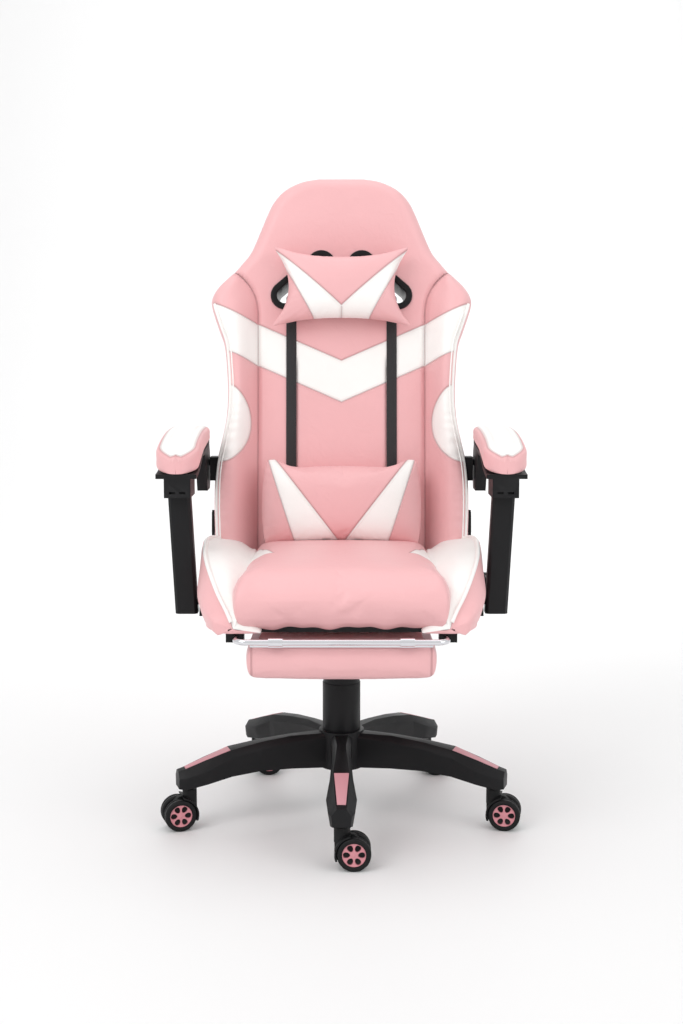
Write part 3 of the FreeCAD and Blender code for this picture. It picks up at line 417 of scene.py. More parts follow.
@dataclass
class Slab:
    """A closed cushion-like form over an outline that is symmetric about x = 0.

    Row by row along s, the half width comes from a smooth table. The two faces are height
    fields over the outline, and both come together at its edge: a point at a distance e inside
    the edge keeps (1 - (1 - e / r)^n)^(1/n) of its height above the middle surface.
    """

    rows: Sequence
    face: Callable[[Array, Array, Array], Array]
    back: Callable[[Array, Array, Array], Array]
    middle: Callable[[Array, Array], Array]
    edge: float
    power: float = 2.4
    across: int = 97
    along: int = 121
    upward: int = 1

    def half_width(self, s: Array) -> Array:
        """The outline's half width at each s."""
        table = smooth_path(self.rows, 600)
        order = np.argsort(table[:, 0])
        return np.interp(s, table[order, 0], table[order, 1])

    def inside(self, x: Array, s: Array) -> Array:
        """The distance of points inside the outline."""
        first, last = self.rows[0][0], self.rows[-1][0]
        fine = np.linspace(first, last, 240)
        half = self.half_width(fine)
        loop = np.vstack([np.stack([half, fine], 1), np.stack([-half, fine], 1)[::-1]])
        away = nearest_distance(np.stack([x, s], 1), loop)
        return np.where((np.abs(x) <= self.half_width(s)) & (s >= first) & (s <= last), away, 0)

    def repanel(self, obj: Object, x: Array, s: Array, height: Array) -> None:
        """Stores the panel coordinates again, from places along, across and through the form."""
        away = self.inside(x, s)
        rear = height < self.middle(x, s) * self.upward
        store(obj, "panel", np.stack([x, s, np.where(rear, -away, away)], 1))

    def local(self) -> tuple[Array, Array, Array, Array, Array]:
        """Grids of x, s, face height, back height and distance inside the edge."""
        first, last = self.rows[0][0], self.rows[-1][0]
        t = np.linspace(0, 1, self.along)
        s = first + (last - first) * (0.35 * t + 0.65 * (0.5 - 0.5 * np.cos(np.pi * t)))
        u = np.linspace(-1, 1, self.across)
        u = 0.4 * u + 0.6 * np.sin(u * np.pi / 2)
        half = self.half_width(s)
        x = half[:, None] * u[None]
        grid = np.repeat(s[:, None], self.across, 1)
        inside = self.inside(x.ravel(), grid.ravel()).reshape(x.shape)
        inside[0], inside[-1], inside[:, 0], inside[:, -1] = 0, 0, 0, 0
        keep = 1 - np.clip(1 - inside / self.edge, 0, 1) ** self.power
        keep = keep ** (1 / self.power)
        centre = self.middle(x, grid)
        top = centre + (self.face(x, grid, inside) - centre) * keep
        low = centre + (self.back(x, grid, inside) - centre) * keep
        return x, grid, top, low, inside

    def build(self, name: str, world: Callable[[Array, Array, Array], Array]) -> Object:
        """Builds the form and stores its panel coordinates (x, s, distance inside the edge).

        The third panel coordinate is negative on the back face.
        """
        x, s, top, low, inside = self.local()
        count = x.size
        quads = grid_faces(*x.shape)
        verts = np.vstack([world(x, s, top).reshape(-1, 3), world(x, s, low).reshape(-1, 3)])
        panel = np.stack([np.tile(x.ravel(), 2), np.tile(s.ravel(), 2),
                          np.concatenate([inside.ravel(), -inside.ravel()])], 1)
        faces = np.vstack([quads, quads[:, ::-1] + count])
        obj = link_mesh(name, verts, faces.tolist())
        store(obj, "panel", panel)
        return face_outwards(obj)

    def rim(self, inset: float, first: float, last: float, count: int,
            world: Callable[[Array, Array, Array], Array], side: int) -> Array:
        """A path on the face, at an inset from one side's edge, from one s to another."""
        s = np.linspace(first, last, count)
        x = self.half_width(s) - inset
        inside = np.full_like(s, inset)
        keep = (1 - np.clip(1 - inside / self.edge, 0, 1) ** self.power) ** (1 / self.power)
        centre = self.middle(x, s)
        top = centre + (self.face(x, s, inside) - centre) * keep
        return world(side * x, s, top)


# ---------------------------------------------------------------- finishes
Socket = bpy.types.NodeSocket


def srgb(red: int, green: int, blue: int) -> tuple[float, float, float, float]:
    """A display colour as the linear colour that shaders use."""
    values = [c / 255 for c in (red, green, blue)]
    linear = [v / 12.92 if v <= 0.04045 else ((v + 0.055) / 1.055) ** 2.4 for v in values]
    return (*linear, 1.0)


class Graph:
    """Adds and links nodes in a material's or a group's node tree."""

    def __init__(self, tree: bpy.types.NodeTree) -> None:
        """Keeps the tree that nodes are added to."""
        self.tree = tree

    def put(self, target: Socket, value: object) -> None:
        """Links a socket to an input, or sets the input to a constant."""
        if isinstance(value, bpy.types.NodeSocket):
            self.tree.links.new(value, target)
        elif value is not None:
            target.default_value = value

    def add(self, kind: str, inputs: dict | None = None, **settings: object) -> bpy.types.Node:
        """Adds a node.

        Args:
            kind: the node type's identifier.
            inputs: input name or index to a socket or a constant.
            settings: the node's own properties.

        Returns:
            The node.
        """
        node = self.tree.nodes.new(kind)
        for key, value in settings.items():
            setattr(node, key, value)
        for key, value in (inputs or {}).items():
            self.put(node.inputs[key], value)
        return node

    def math(self, operation: str, *values: object, clamp: bool = False) -> Socket:
        """A Math node's result."""
        return self.add("ShaderNodeMath", dict(enumerate(values)), operation=operation,
                        use_clamp=clamp).outputs[0]

    def ramp(self, value: Socket, low: float, high: float) -> Socket:
        """0 below low, 1 above high and a smooth step between; high may be the lower one."""
        flip = low > high
        node = self.add("ShaderNodeMapRange", {"Value": value, "From Min": min(low, high),
                                               "From Max": max(low, high),
                                               "To Min": 1.0 if flip else 0.0,
                                               "To Max": 0.0 if flip else 1.0},
                        interpolation_type="SMOOTHSTEP")
        return node.outputs["Result"]

    def mix(self, factor: object, first: object, second: object, blend: str = "MIX") -> Socket:
        """A colour mix's result."""
        node = self.add("ShaderNodeMix", data_type="RGBA", blend_type=blend)
        self.put(node.inputs[0], factor)
        self.put(node.inputs[6], first)
        self.put(node.inputs[7], second)
        return node.outputs[2]

    def noise(self, where: Socket, scale: float, detail: float = 2.0) -> Socket:
        """A noise texture's value."""
        return self.add("ShaderNodeTexNoise", {"Vector": where, "Scale": scale,
                                               "Detail": detail}).outputs["Fac"]

    def place(self) -> Socket:
        """The object's own coordinates."""
        return self.add("ShaderNodeTexCoord").outputs["Object"]

    def panel(self) -> tuple[Socket, Socket, Socket]:
        """|x|, the way along and the distance inside the edge, from the stored attribute."""
        vector = self.add("ShaderNodeAttribute", attribute_name="panel").outputs["Vector"]
        parts = self.add("ShaderNodeSeparateXYZ", {0: vector}).outputs
        return self.math("ABSOLUTE", parts[0]), parts[1], parts[2]


def group(name: str, inputs: Sequence[str], outputs: Sequence[str],
          fill: Callable[[Graph, dict[str, Socket]], dict[str, Socket]]) -> bpy.types.NodeTree:
    """Makes a node group whose sockets are all values.

    Args:
        name: the group's name.
        inputs: names of its input values.
        outputs: names of its output values.
        fill: builds the inside from the input sockets, and gives the output sockets.

    Returns:
        The node group.
    """
    tree = bpy.data.node_groups.new(name, "ShaderNodeTree")
    for label in inputs:
        tree.interface.new_socket(label, in_out="INPUT", socket_type="NodeSocketFloat")
    for label in outputs:
        tree.interface.new_socket(label, in_out="OUTPUT", socket_type="NodeSocketFloat")
    graph = Graph(tree)
    start = graph.add("NodeGroupInput")
    end = graph.add("NodeGroupOutput")
    for label, socket in fill(graph, {label: start.outputs[label] for label in inputs}).items():
        graph.put(end.inputs[label], socket)
    return tree


def fill_grain(graph: Graph, _: dict[str, Socket]) -> dict[str, Socket]:
    """Leather grain: pebbles about 1.3 mm wide, fine pores, and slow unevenness of the foam."""
    where = graph.place()
    cells = graph.add("ShaderNodeTexVoronoi", {"Vector": where, "Scale": 720.0}).outputs["Distance"]
    pores = graph.noise(where, 1900.0, 3.0)
    pebbles = graph.math("SUBTRACT", 1.0, graph.math("MULTIPLY", cells, 0.8))
    soft = graph.noise(where, 9.0, 2.0)
    creases = graph.add("ShaderNodeTexNoise", {"Vector": where, "Scale": 34.0, "Detail": 3.0,
                                               "Distortion": 1.3}).outputs["Fac"]
    return {"Grain": graph.math("ADD", graph.math("MULTIPLY", pebbles, 0.7),
                                graph.math("MULTIPLY", pores, 0.3)),
            "Soft": soft, "Creases": creases}


def fill_seam(graph: Graph, given: dict[str, Socket]) -> dict[str, Socket]:
    """A seam: a groove along zero distance, and a row of stitches beside it."""
    away = graph.math("ABSOLUTE", given["Distance"])
    groove = graph.ramp(away, 0.0024, 0.0003)
    row = graph.ramp(graph.math("ABSOLUTE", graph.math("SUBTRACT", away, 0.0042)), 0.0008, 0.0003)
    beat = graph.math("FRACT", graph.math("DIVIDE", given["Along"], 0.0042))
    dash = graph.math("LESS_THAN", beat, 0.62)
    return {"Groove": groove, "Stitch": graph.math("MULTIPLY", row, dash)}


GRAIN = group("leather_grain", [], ["Grain", "Soft", "Creases"], fill_grain)
SEAM = group("seam_row", ["Distance", "Along"], ["Groove", "Stitch"], fill_seam)


def slanted(graph: Graph, across: Socket, along: Socket, start: float, slope: float) -> Socket:
    """Signed distance above the line along = start + slope * across."""
    line = graph.math("MULTIPLY_ADD", across, slope, start)
    return graph.math("DIVIDE", graph.math("SUBTRACT", along, line), math.hypot(1, slope))


def between(graph: Graph, across: Socket, along: Socket, low: tuple[float, float],
            high: tuple[float, float]) -> Socket:
    """The distance inside the strip above one slanted line and below another."""
    above = slanted(graph, across, along, *low)
    below = graph.math("MULTIPLY", slanted(graph, across, along, *high), -1.0)
    return graph.math("MINIMUM", above, below)


def oval(graph: Graph, across: Socket, along: Socket, centre: tuple[float, float],
         radii: tuple[float, float]) -> Socket:
    """Roughly the distance inside an ellipse."""
    first = graph.math("DIVIDE", graph.math("SUBTRACT", across, centre[0]), radii[0])
    second = graph.math("DIVIDE", graph.math("SUBTRACT", along, centre[1]), radii[1])
    reach = graph.math("SQRT", graph.math("ADD", graph.math("MULTIPLY", first, first),
                                          graph.math("MULTIPLY", second, second)))
    return graph.math("MULTIPLY", graph.math("SUBTRACT", 1.0, reach), min(radii))


def limited(graph: Graph, distance: Socket, beyond: Socket) -> Socket:
    """A seam's distance, kept away from zero where the seam has ended."""
    return graph.math("MAXIMUM", graph.math("ABSOLUTE", distance), beyond)


class Panels(Enum):
    """Which way a piece's cover is cut from pink and white leather."""

    PLAIN = "plain"
    BACKREST = "backrest"
    HEAD = "head"
    LUMBAR = "lumbar"
    SEAT = "seat"
    BOLSTER = "bolster"
    ARM_PAD = "arm_pad"
    FOOTREST = "footrest"

    def cut(self, graph: Graph) -> tuple[Socket | None, list[Socket]]:
        """The cover's panels.

        Args:
            graph: the material's graph.

        Returns:
            The distance inside the white panels, and the signed distances from other seams.
        """
        if self is Panels.PLAIN:
            return None, []
        across, along, inside = graph.panel()
        if self is Panels.BACKREST:
            band = between(graph, across, along, (0.3315, 0.44), (0.414, 0.44))
            sides = oval(graph, across, along, (0.236, 0.289), (0.059, 0.078))
            white = graph.math("MAXIMUM", band, sides)
            front = graph.math("SUBTRACT", inside, 0.0085)
            past = graph.math("MAXIMUM", graph.math("SUBTRACT", along, 0.49), 0.0)
            curve = graph.math("MULTIPLY", graph.math("POWER", past, 3.0), 44.0)
            seam = graph.math("SUBTRACT", across, graph.math("ADD", 0.165, curve))
            seam = limited(graph, seam, graph.ramp(along, 0.592, 0.6))
            middle = limited(graph, graph.math("SUBTRACT", across, 0.091),
                             graph.ramp(along, 0.40, 0.43))
            return graph.math("MINIMUM", white, front), [seam, middle]
        if self is Panels.HEAD:
            white = between(graph, across, along, (0.3948, 1.77), (0.5126, 0.885))
            return white, [limited(graph, across, graph.ramp(along, 0.510, 0.515))]
        if self is Panels.LUMBAR:
            return between(graph, across, along, (-0.2194, 3.05), (0.050, 1.29)), []
        if self is Panels.SEAT:
            below = graph.math("MULTIPLY", slanted(graph, across, along, -0.539, 3.97), -1.0)
            return graph.math("MINIMUM", below, graph.math("ADD", along, 0.047)), []
        if self is Panels.BOLSTER:
            return inside, []
        if self is Panels.ARM_PAD:
            return graph.math("SUBTRACT", inside, 0.0035), []
        return None, [graph.math("SUBTRACT", across, 0.151)]


@dataclass(frozen=True)
class Leather:
    """Soft synthetic leather, in one or two colours, with seams where its panels meet, and painted
    shade in the seam grooves.
    """

    panels: Panels = Panels.PLAIN
    colour: tuple = srgb(236, 181, 183)
    second: tuple = srgb(250, 249, 246)
    thread: tuple = srgb(250, 205, 206)
    # Painted shade: the colour that the seam grooves are darkened towards.
    groove_shade: tuple = srgb(150, 92, 96)
    roughness: float = 0.43

    def build(self, name: str) -> Material:
        """Makes the material."""
        material = bpy.data.materials.new(name)
        material.use_nodes = True
        graph = Graph(material.node_tree)
        shader = graph.tree.nodes["Principled BSDF"]
        grain = graph.add("ShaderNodeGroup", node_tree=GRAIN).outputs
        white, seams = self.panels.cut(graph)
        colour: object = self.colour
        height = graph.math("ADD", graph.math("MULTIPLY", grain["Grain"], 0.00016),
                            graph.math("MULTIPLY", grain["Creases"], 0.0011))
        tone = graph.ramp(grain["Soft"], 0.2, 0.8)
        if white is not None:
            colour = graph.mix(graph.ramp(white, -0.0003, 0.0003), self.colour, self.second)
            seams = seams + [white]
        colour = graph.mix(graph.math("MULTIPLY", tone, 0.45), colour, (0.93, 0.92, 0.92, 1),
                           "MULTIPLY")
        if seams:
            across, along, _ = graph.panel()
            way = graph.math("ADD", along, graph.math("MULTIPLY", across, 0.7))
            nearest = seams[0]
            for seam in seams[1:]:
                closer = graph.math("LESS_THAN", graph.math("ABSOLUTE", seam),
                                    graph.math("ABSOLUTE", nearest))
                nearest = graph.math("ADD", graph.math("MULTIPLY", closer, seam), graph.math(
                    "MULTIPLY", graph.math("SUBTRACT", 1.0, closer), nearest))
            row = graph.add("ShaderNodeGroup", {"Distance": nearest, "Along": way},
                            node_tree=SEAM).outputs
            height = graph.math("SUBTRACT", height, graph.math("MULTIPLY", row["Groove"], 0.0016))
            height = graph.math("ADD", height, graph.math("MULTIPLY", row["Stitch"], 0.0004))
            # Painted shade: the leather in each seam groove is darkened, as if shade falls into it.
            colour = graph.mix(graph.math("MULTIPLY", row["Groove"], 0.38), colour, self.groove_shade)
            colour = graph.mix(graph.math("MULTIPLY", row["Stitch"], 0.25), colour, self.thread)
        rough = graph.math("MULTIPLY_ADD", grain["Grain"], 0.16, self.roughness - 0.08)
        bump = graph.add("ShaderNodeBump", {"Height": height, "Distance": 1.0, "Strength": 0.85})
        graph.put(shader.inputs["Base Color"], colour)
        graph.put(shader.inputs["Roughness"], rough)
        graph.put(shader.inputs["Normal"], bump.outputs[0])
        shader.inputs["Specular IOR Level"].default_value = 0.42
        shader.inputs["Sheen Weight"].default_value = 0.12
        shader.inputs["Sheen Roughness"].default_value = 0.5
        return material


@dataclass(frozen=True)
class Plastic:
    """Moulded plastic with a fine spark-eroded texture, and paler worn edges."""

    colour: tuple = srgb(20, 20, 22)
    roughness: float = 0.46
    texture: float = 0.00009
    wear: float = 0.25

    def build(self, name: str) -> Material:
        """Makes the material."""
        material = bpy.data.materials.new(name)
        material.use_nodes = True
        graph = Graph(material.node_tree)
        shader = graph.tree.nodes["Principled BSDF"]
        where = graph.place()
        fine = graph.noise(where, 1500.0, 2.0)
        cloud = graph.noise(where, 22.0, 4.0)
        edges = graph.ramp(graph.add("ShaderNodeNewGeometry").outputs["Pointiness"], 0.54, 0.62)
        worn = graph.math("MULTIPLY", graph.math("MULTIPLY", edges, cloud), self.wear)
        pale = tuple(min(1.0, c * 1.6 + 0.035) for c in self.colour[:3]) + (1.0,)
        colour = graph.mix(worn, self.colour, pale)
        rough = graph.math("MULTIPLY_ADD", cloud, 0.14, self.roughness - 0.07)
        bump = graph.add("ShaderNodeBump", {"Height": graph.math("MULTIPLY", fine, self.texture),
                                            "Distance": 1.0, "Strength": 0.9})
        graph.put(shader.inputs["Base Color"], colour)
        graph.put(shader.inputs["Roughness"], rough)
        graph.put(shader.inputs["Normal"], bump.outputs[0])
        shader.inputs["Specular IOR Level"].default_value = 0.24
        return material


@dataclass(frozen=True)
class WheelCap(Plastic):
    """The pink wheel cap, with painted shade in its sunk windows: they turn dark red with depth."""

    colour: tuple = srgb(208, 140, 148)
    roughness: float = 0.4
    # Painted shade colour of the sunk windows.
    window_shade: tuple = srgb(58, 14, 20)

    def build(self, name: str) -> Material:
        """Makes the material."""
        material = super().build(name)
        graph = Graph(material.node_tree)
        shader = graph.tree.nodes["Principled BSDF"]
        sunk = graph.add("ShaderNodeAttribute", attribute_name="sunk").outputs["Fac"]
        usual = shader.inputs["Base Color"].links[0].from_socket
        # Painted shade: the windows darken towards the shade colour as they sink deeper.
        graph.put(shader.inputs["Base Color"], graph.mix(sunk, usual, self.window_shade))
        return material


@dataclass(frozen=True)
class Metal:
    """Bare, plated or coated metal with fine scratches along one axis."""

    colour: tuple = srgb(205, 205, 208)
    roughness: float = 0.22
    metallic: float = 1.0
    scratch: float = 0.00002

    def build(self, name: str) -> Material:
        """Makes the material."""
        material = bpy.data.materials.new(name)
        material.use_nodes = True
        graph = Graph(material.node_tree)
        shader = graph.tree.nodes["Principled BSDF"]
        stretched = graph.add("ShaderNodeMapping", {"Vector": graph.place(), "Scale": (1, 1, 14)})
        lines = graph.noise(stretched.outputs[0], 260.0, 4.0)
        cloud = graph.noise(graph.place(), 30.0, 3.0)
        darker = tuple(c * 0.82 for c in self.colour[:3]) + (1.0,)
        graph.put(shader.inputs["Base Color"], graph.mix(graph.math("MULTIPLY", cloud, 0.5),
                                                         self.colour, darker))
        graph.put(shader.inputs["Roughness"], graph.math("MULTIPLY_ADD", lines, 0.16,
                                                         self.roughness - 0.08))
        bump = graph.add("ShaderNodeBump", {"Height": graph.math("MULTIPLY", lines, self.scratch),
                                            "Distance": 1.0, "Strength": 0.8})
        graph.put(shader.inputs["Normal"], bump.outputs[0])
        shader.inputs["Metallic"].default_value = self.metallic
        shader.inputs["Specular IOR Level"].default_value = 0.3
        return material


@dataclass(frozen=True)
class Weave:
    """Woven webbing or cloth, with raised yarns both ways."""

    colour: tuple = srgb(24, 24, 26)
    yarn: float = 0.0012

    def build(self, name: str) -> Material:
        """Makes the material."""
        material = bpy.data.materials.new(name)
        material.use_nodes = True
        graph = Graph(material.node_tree)
        shader = graph.tree.nodes["Principled BSDF"]
        parts = graph.add("ShaderNodeSeparateXYZ", {0: graph.place()}).outputs
        turns = 2 * math.pi / self.yarn
        warp = graph.math("SINE", graph.math("MULTIPLY", parts[0], turns))
        height = graph.math("ADD", parts[1], parts[2])
        weft = graph.math("SINE", graph.math("MULTIPLY", height, turns))
        yarns = graph.math("MULTIPLY_ADD", graph.math("MULTIPLY", warp, weft), 0.5, 0.5)
        light = tuple(c * 2.2 + 0.006 for c in self.colour[:3]) + (1.0,)
        graph.put(shader.inputs["Base Color"], graph.mix(yarns, self.colour, light))
        bump = graph.add("ShaderNodeBump", {"Height": graph.math("MULTIPLY", yarns, 0.0003),
                                            "Distance": 1.0, "Strength": 0.9})
        graph.put(shader.inputs["Normal"], bump.outputs[0])
        shader.inputs["Roughness"].default_value = 0.78
        shader.inputs["Sheen Weight"].default_value = 0.3
        return material


@dataclass(frozen=True)
class Plywood:
    """Raw birch ply with grain along Y."""

    colour: tuple = srgb(196, 164, 122)

    def build(self, name: str) -> Material:
        """Makes the material."""
        material = bpy.data.materials.new(name)
        material.use_nodes = True
        graph = Graph(material.node_tree)
        shader = graph.tree.nodes["Principled BSDF"]
        stretched = graph.add("ShaderNodeMapping", {"Vector": graph.place(), "Scale": (12, 1, 30)})
        rings = graph.noise(stretched.outputs[0], 9.0, 5.0)
        graph.put(shader.inputs["Base Color"], graph.mix(rings, self.colour, srgb(140, 104, 66)))
        shader.inputs["Roughness"].default_value = 0.7
        return material


class Finishes:
    """Every material, made once and looked up by name."""

    RECIPES = {
        **{f"leather_{p.value}": Leather(p) for p in Panels},
        "leather_white": Leather(Panels.PLAIN, srgb(250, 249, 246)),
        "plastic_black": Plastic(),
        "plastic_gloss": Plastic(srgb(18, 18, 20), 0.33, 0.00004),
        "plastic_pink": Plastic(srgb(208, 150, 158), 0.42, 0.00006, 0.1),
        "plastic_maroon": Plastic(srgb(74, 24, 34), 0.5),
        "nylon": Plastic(srgb(17, 17, 18), 0.52),
        "wheel_cap": WheelCap(),
        "coated_steel": Metal(srgb(18, 18, 19), 0.46, 0.0, 0.00006),
        "chrome": Metal(srgb(228, 228, 232), 0.13, 1.0, 0.000004),
        "zinc": Metal(srgb(178, 178, 176), 0.34),
        "webbing": Weave(),
        "dust_cloth": Weave(srgb(16, 16, 17), 0.0016),
        "plywood": Plywood(),
    }

    def __init__(self) -> None:
        """Starts with no material made."""
        self.made: dict[str, Material] = {}

    def __getitem__(self, name: str) -> Material:
        """The material of a recipe."""
        if name not in self.made:
            self.made[name] = self.RECIPES[name].build(name)
        return self.made[name]

    def dress(self, node: str, name: str) -> None:
        """Gives a CAD node that stays in view a better material."""
        obj = frame["nodes"][node]
        if not obj.material_slots:
            obj.data.materials.append(None)
        for slot in obj.material_slots:
            slot.material = self[name]


FINISH = Finishes()


# ---------------------------------------------------------------- shared places
def joint(name: str) -> dict:
    """A joint of the frame by its name."""
    return next(j for j in frame["joints"] if j["name"] == name)


LEAN = math.radians(9.1)
HINGE = Vector(joint("back_recline")["pos_m"])
BACK = Matrix.Translation((0, HINGE.y, HINGE.z)) @ Matrix.Rotation(-LEAN, 4, "X")


def on_back(x: Array, v: Array, d: Array) -> Array:
    """World places of points given across, up along and through the backrest."""
    grid = np.stack(np.broadcast_arrays(x, d, v), -1)
    turn = np.array(BACK.to_3x3())
    return grid @ turn.T + np.array(BACK.translation)


def from_back(points: Array) -> tuple[Array, Array, Array]:
    """Across, up and through the backrest for world points."""
    turn = np.array(BACK.to_3x3())
    local = (points - np.array(BACK.translation)) @ turn
    return local[:, 0], local[:, 2], local[:, 1]


def bump_at(value: Array, centre: float, width: float) -> Array:
    """A bell-shaped bump."""
    return np.exp(-((value - centre) / width) ** 2)


def step_up(value: Array, low: float, high: float) -> Array:
    """A smooth step from 0 at low to 1 at high."""
    t = np.clip((value - low) / (high - low), 0, 1)
    return t * t * (3 - 2 * t)


def refine_all(nodes: Sequence[str], body: str, finish: str,
               width: float = 0.0015) -> None:
    """Replaces CAD nodes by copies with rounded edges."""
    for node in nodes:
        finish_piece(refined(node, width), body, FINISH[finish])


# ---------------------------------------------------------------- base and casters
@dataclass
class StarBase:
    """The five-legged moulded base with its pink inlays."""

    leg_rounding: float = 0.0022
    inlay_rounding: float = 0.0009

    def build(self) -> None:
        """Rounds the base and its inlays, and dresses the stems."""
        refine_all(["star_base"], "base", "plastic_black", self.leg_rounding)
        refine_all(["leg_inlays"], "base", "plastic_pink", self.inlay_rounding)
        FINISH.dress("caster_stems", "zinc")


@dataclass
class Caster:
    """One twin-wheel caster: a hooded housing and two tyres with six-spoke caps."""

    number: int
    radius: float = 0.029
    width: float = 0.018
    cap_radius: float = 0.0205
    spokes: int = 6
    hole_ring: float = 0.0128
    hole: float = 0.0054

    def tyre(self) -> Sequence:
        """The tyre's outline: a tread with round shoulders and a lip around the cap's recess."""
        r, half, cap = self.radius, self.width / 2, self.cap_radius
        bend = [(r - 0.004 + 0.004 * math.sin(a), half - 0.004 + 0.004 * math.cos(a))
                for a in np.linspace(0, math.pi / 2, 6)]
        grooves = [(r, 0.0032), (r - 0.0005, 0.0028), (r - 0.0005, -0.0028), (r, -0.0032)]
        shoulder = [(r - 0.004 + 0.004 * math.cos(a), -half + 0.004 - 0.004 * math.sin(a))
                    for a in np.linspace(0, math.pi / 2, 6)]
        return ([(0.006, half - 0.0052), (cap, half - 0.0052), (cap, half - 0.0008),
                 (cap + 0.0008, half)] + bend + grooves + shoulder + [(0.006, -half)])

    def cap(self) -> tuple[Array, Array]:
        """A dished disc with a raised rim, a hub and six sunk windows.

        The height over radius r and angle a is a rim bump plus a hub bump, less a smooth pit
        around each window's centre.
        """
        radii = np.linspace(0.0003, self.cap_radius - 0.0002, 44)
        angles = np.linspace(0, 2 * np.pi, 120, endpoint=False)
        r, a = np.meshgrid(radii, angles, indexing="ij")
        fold = (a + np.pi / self.spokes) % (2 * np.pi / self.spokes) - np.pi / self.spokes
        along = r * np.cos(fold) - self.hole_ring
        aside = r * np.sin(fold)
        away = np.sqrt((along / 1.12) ** 2 + (aside / (0.9 + along * 22)) ** 2)
        pit = 1 - step_up(away, self.hole - 0.0007, self.hole + 0.0004)
        lip = 0.0012 * bump_at(r, self.cap_radius - 0.0013, 0.0012)
        hub = 0.0009 * bump_at(r, 0, 0.0052) + 0.0005 * bump_at(r, 0, 0.0022)
        height = lip + hub - 0.0032 * pit
        rings = np.stack([r * np.cos(a), r * np.sin(a), height], -1)
        return rings, pit

    def wheel(self, side: str) -> None:
        """Builds one wheel around its axle."""
        pin = joint(f"caster_{self.number}_roll_{side}")
        body = f"caster_{self.number}_wheel_{side}"
        low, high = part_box(body)
        centre = (low + high) / 2
        axle = Vector(pin["axis"])
        stem = Vector(joint(f"caster_{self.number}_swivel")["pos_m"])
        out = axle if axle.dot(centre - stem) > 0 else -axle
        spot = Matrix.Translation(centre) @ out.to_track_quat("Z", "Y").to_matrix().to_4x4()
        rubber = place(lathe(f"{body}_tyre", self.tyre(), 64), spot)
        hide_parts(body)
        finish_piece(rubber, body, FINISH["nylon"])
        rings, pit = self.cap()
        lift = self.width / 2 - 0.0022
        rings = rings + np.array([0, 0, lift])
        floor = rings[-1:] * np.array([1, 1, 0]) + np.array([0, 0, lift - 0.004])
        rings = np.vstack([rings, floor])
        disc = skin(f"{body}_cap", rings)
        points = coords(disc)
        # How far each point sinks into a window; the cap's material paints shade there from it.
        sunk = np.clip((lift - points[:, 2] - 0.0008) / 0.0014, 0, 1)
        inner = np.hypot(points[:, 0], points[:, 1]) < self.cap_radius - 0.0015
        store(disc, "sunk", np.stack([sunk * inner] * 3, 1))
        place(disc, spot)
        finish_piece(disc, body, FINISH["wheel_cap"])

    def build(self) -> None:
        """Builds the caster's pieces."""
        housing = f"caster_{self.number}_housing"
        refine_all([housing], f"caster_{self.number}", "nylon", 0.0012)
        for side in SIDES:
            self.wheel(side)


# ---------------------------------------------------------------- column and mechanism
@dataclass
class Column:
    """The gas column with its three telescoping covers."""

    def build(self) -> None:
        """Rounds the covers and dresses the steel."""
        for node, body in (("column_sleeve_lower", "base"),
                           ("column_sleeve_middle", "cover_middle"),
                           ("column_sleeve_upper", "lift")):
            refine_all([node], body, "plastic_black", 0.0007)
        for node, finish in (("gas_outer_tube", "coated_steel"), ("gas_cylinder", "coated_steel"),
                             ("gas_rod", "chrome"), ("gas_valve_button", "zinc")):
            FINISH.dress(node, finish)


@dataclass
class Mechanism:
    """The tilt mechanism under the seat, with its knob, spring and height lever."""

    def build(self) -> None:
        """Rounds the castings and dresses the small parts."""
        refine_all(["mechanism_housing"], "lift", "coated_steel", 0.001)
        for node in ("mechanism_plate", "seat_frame", "arm_brackets", "backrest_frame",
                     "recliner_left", "recliner_right", "height_lever"):
            FINISH.dress(node, "coated_steel")
        for node in ("tilt_pivot_pin", "plate_bolts", "tilt_spring"):
            FINISH.dress(node, "zinc")
        FINISH.dress("seat_board", "plywood")
        refine_all(["tilt_tension_knob"], "tension_knob", "plastic_black", 0.0008)
        refine_all(["lever_paddle"], "height_lever", "plastic_gloss", 0.001)
        refine_all(["lever_collar"], "lever_cam", "plastic_black", 0.0006)
        refine_all(["recline_lever"], "recline_lever", "plastic_gloss", 0.0015)
        for side in SIDES:
            refine_all([f"recliner_cover_{side}"], "seat", "plastic_black", 0.0018)


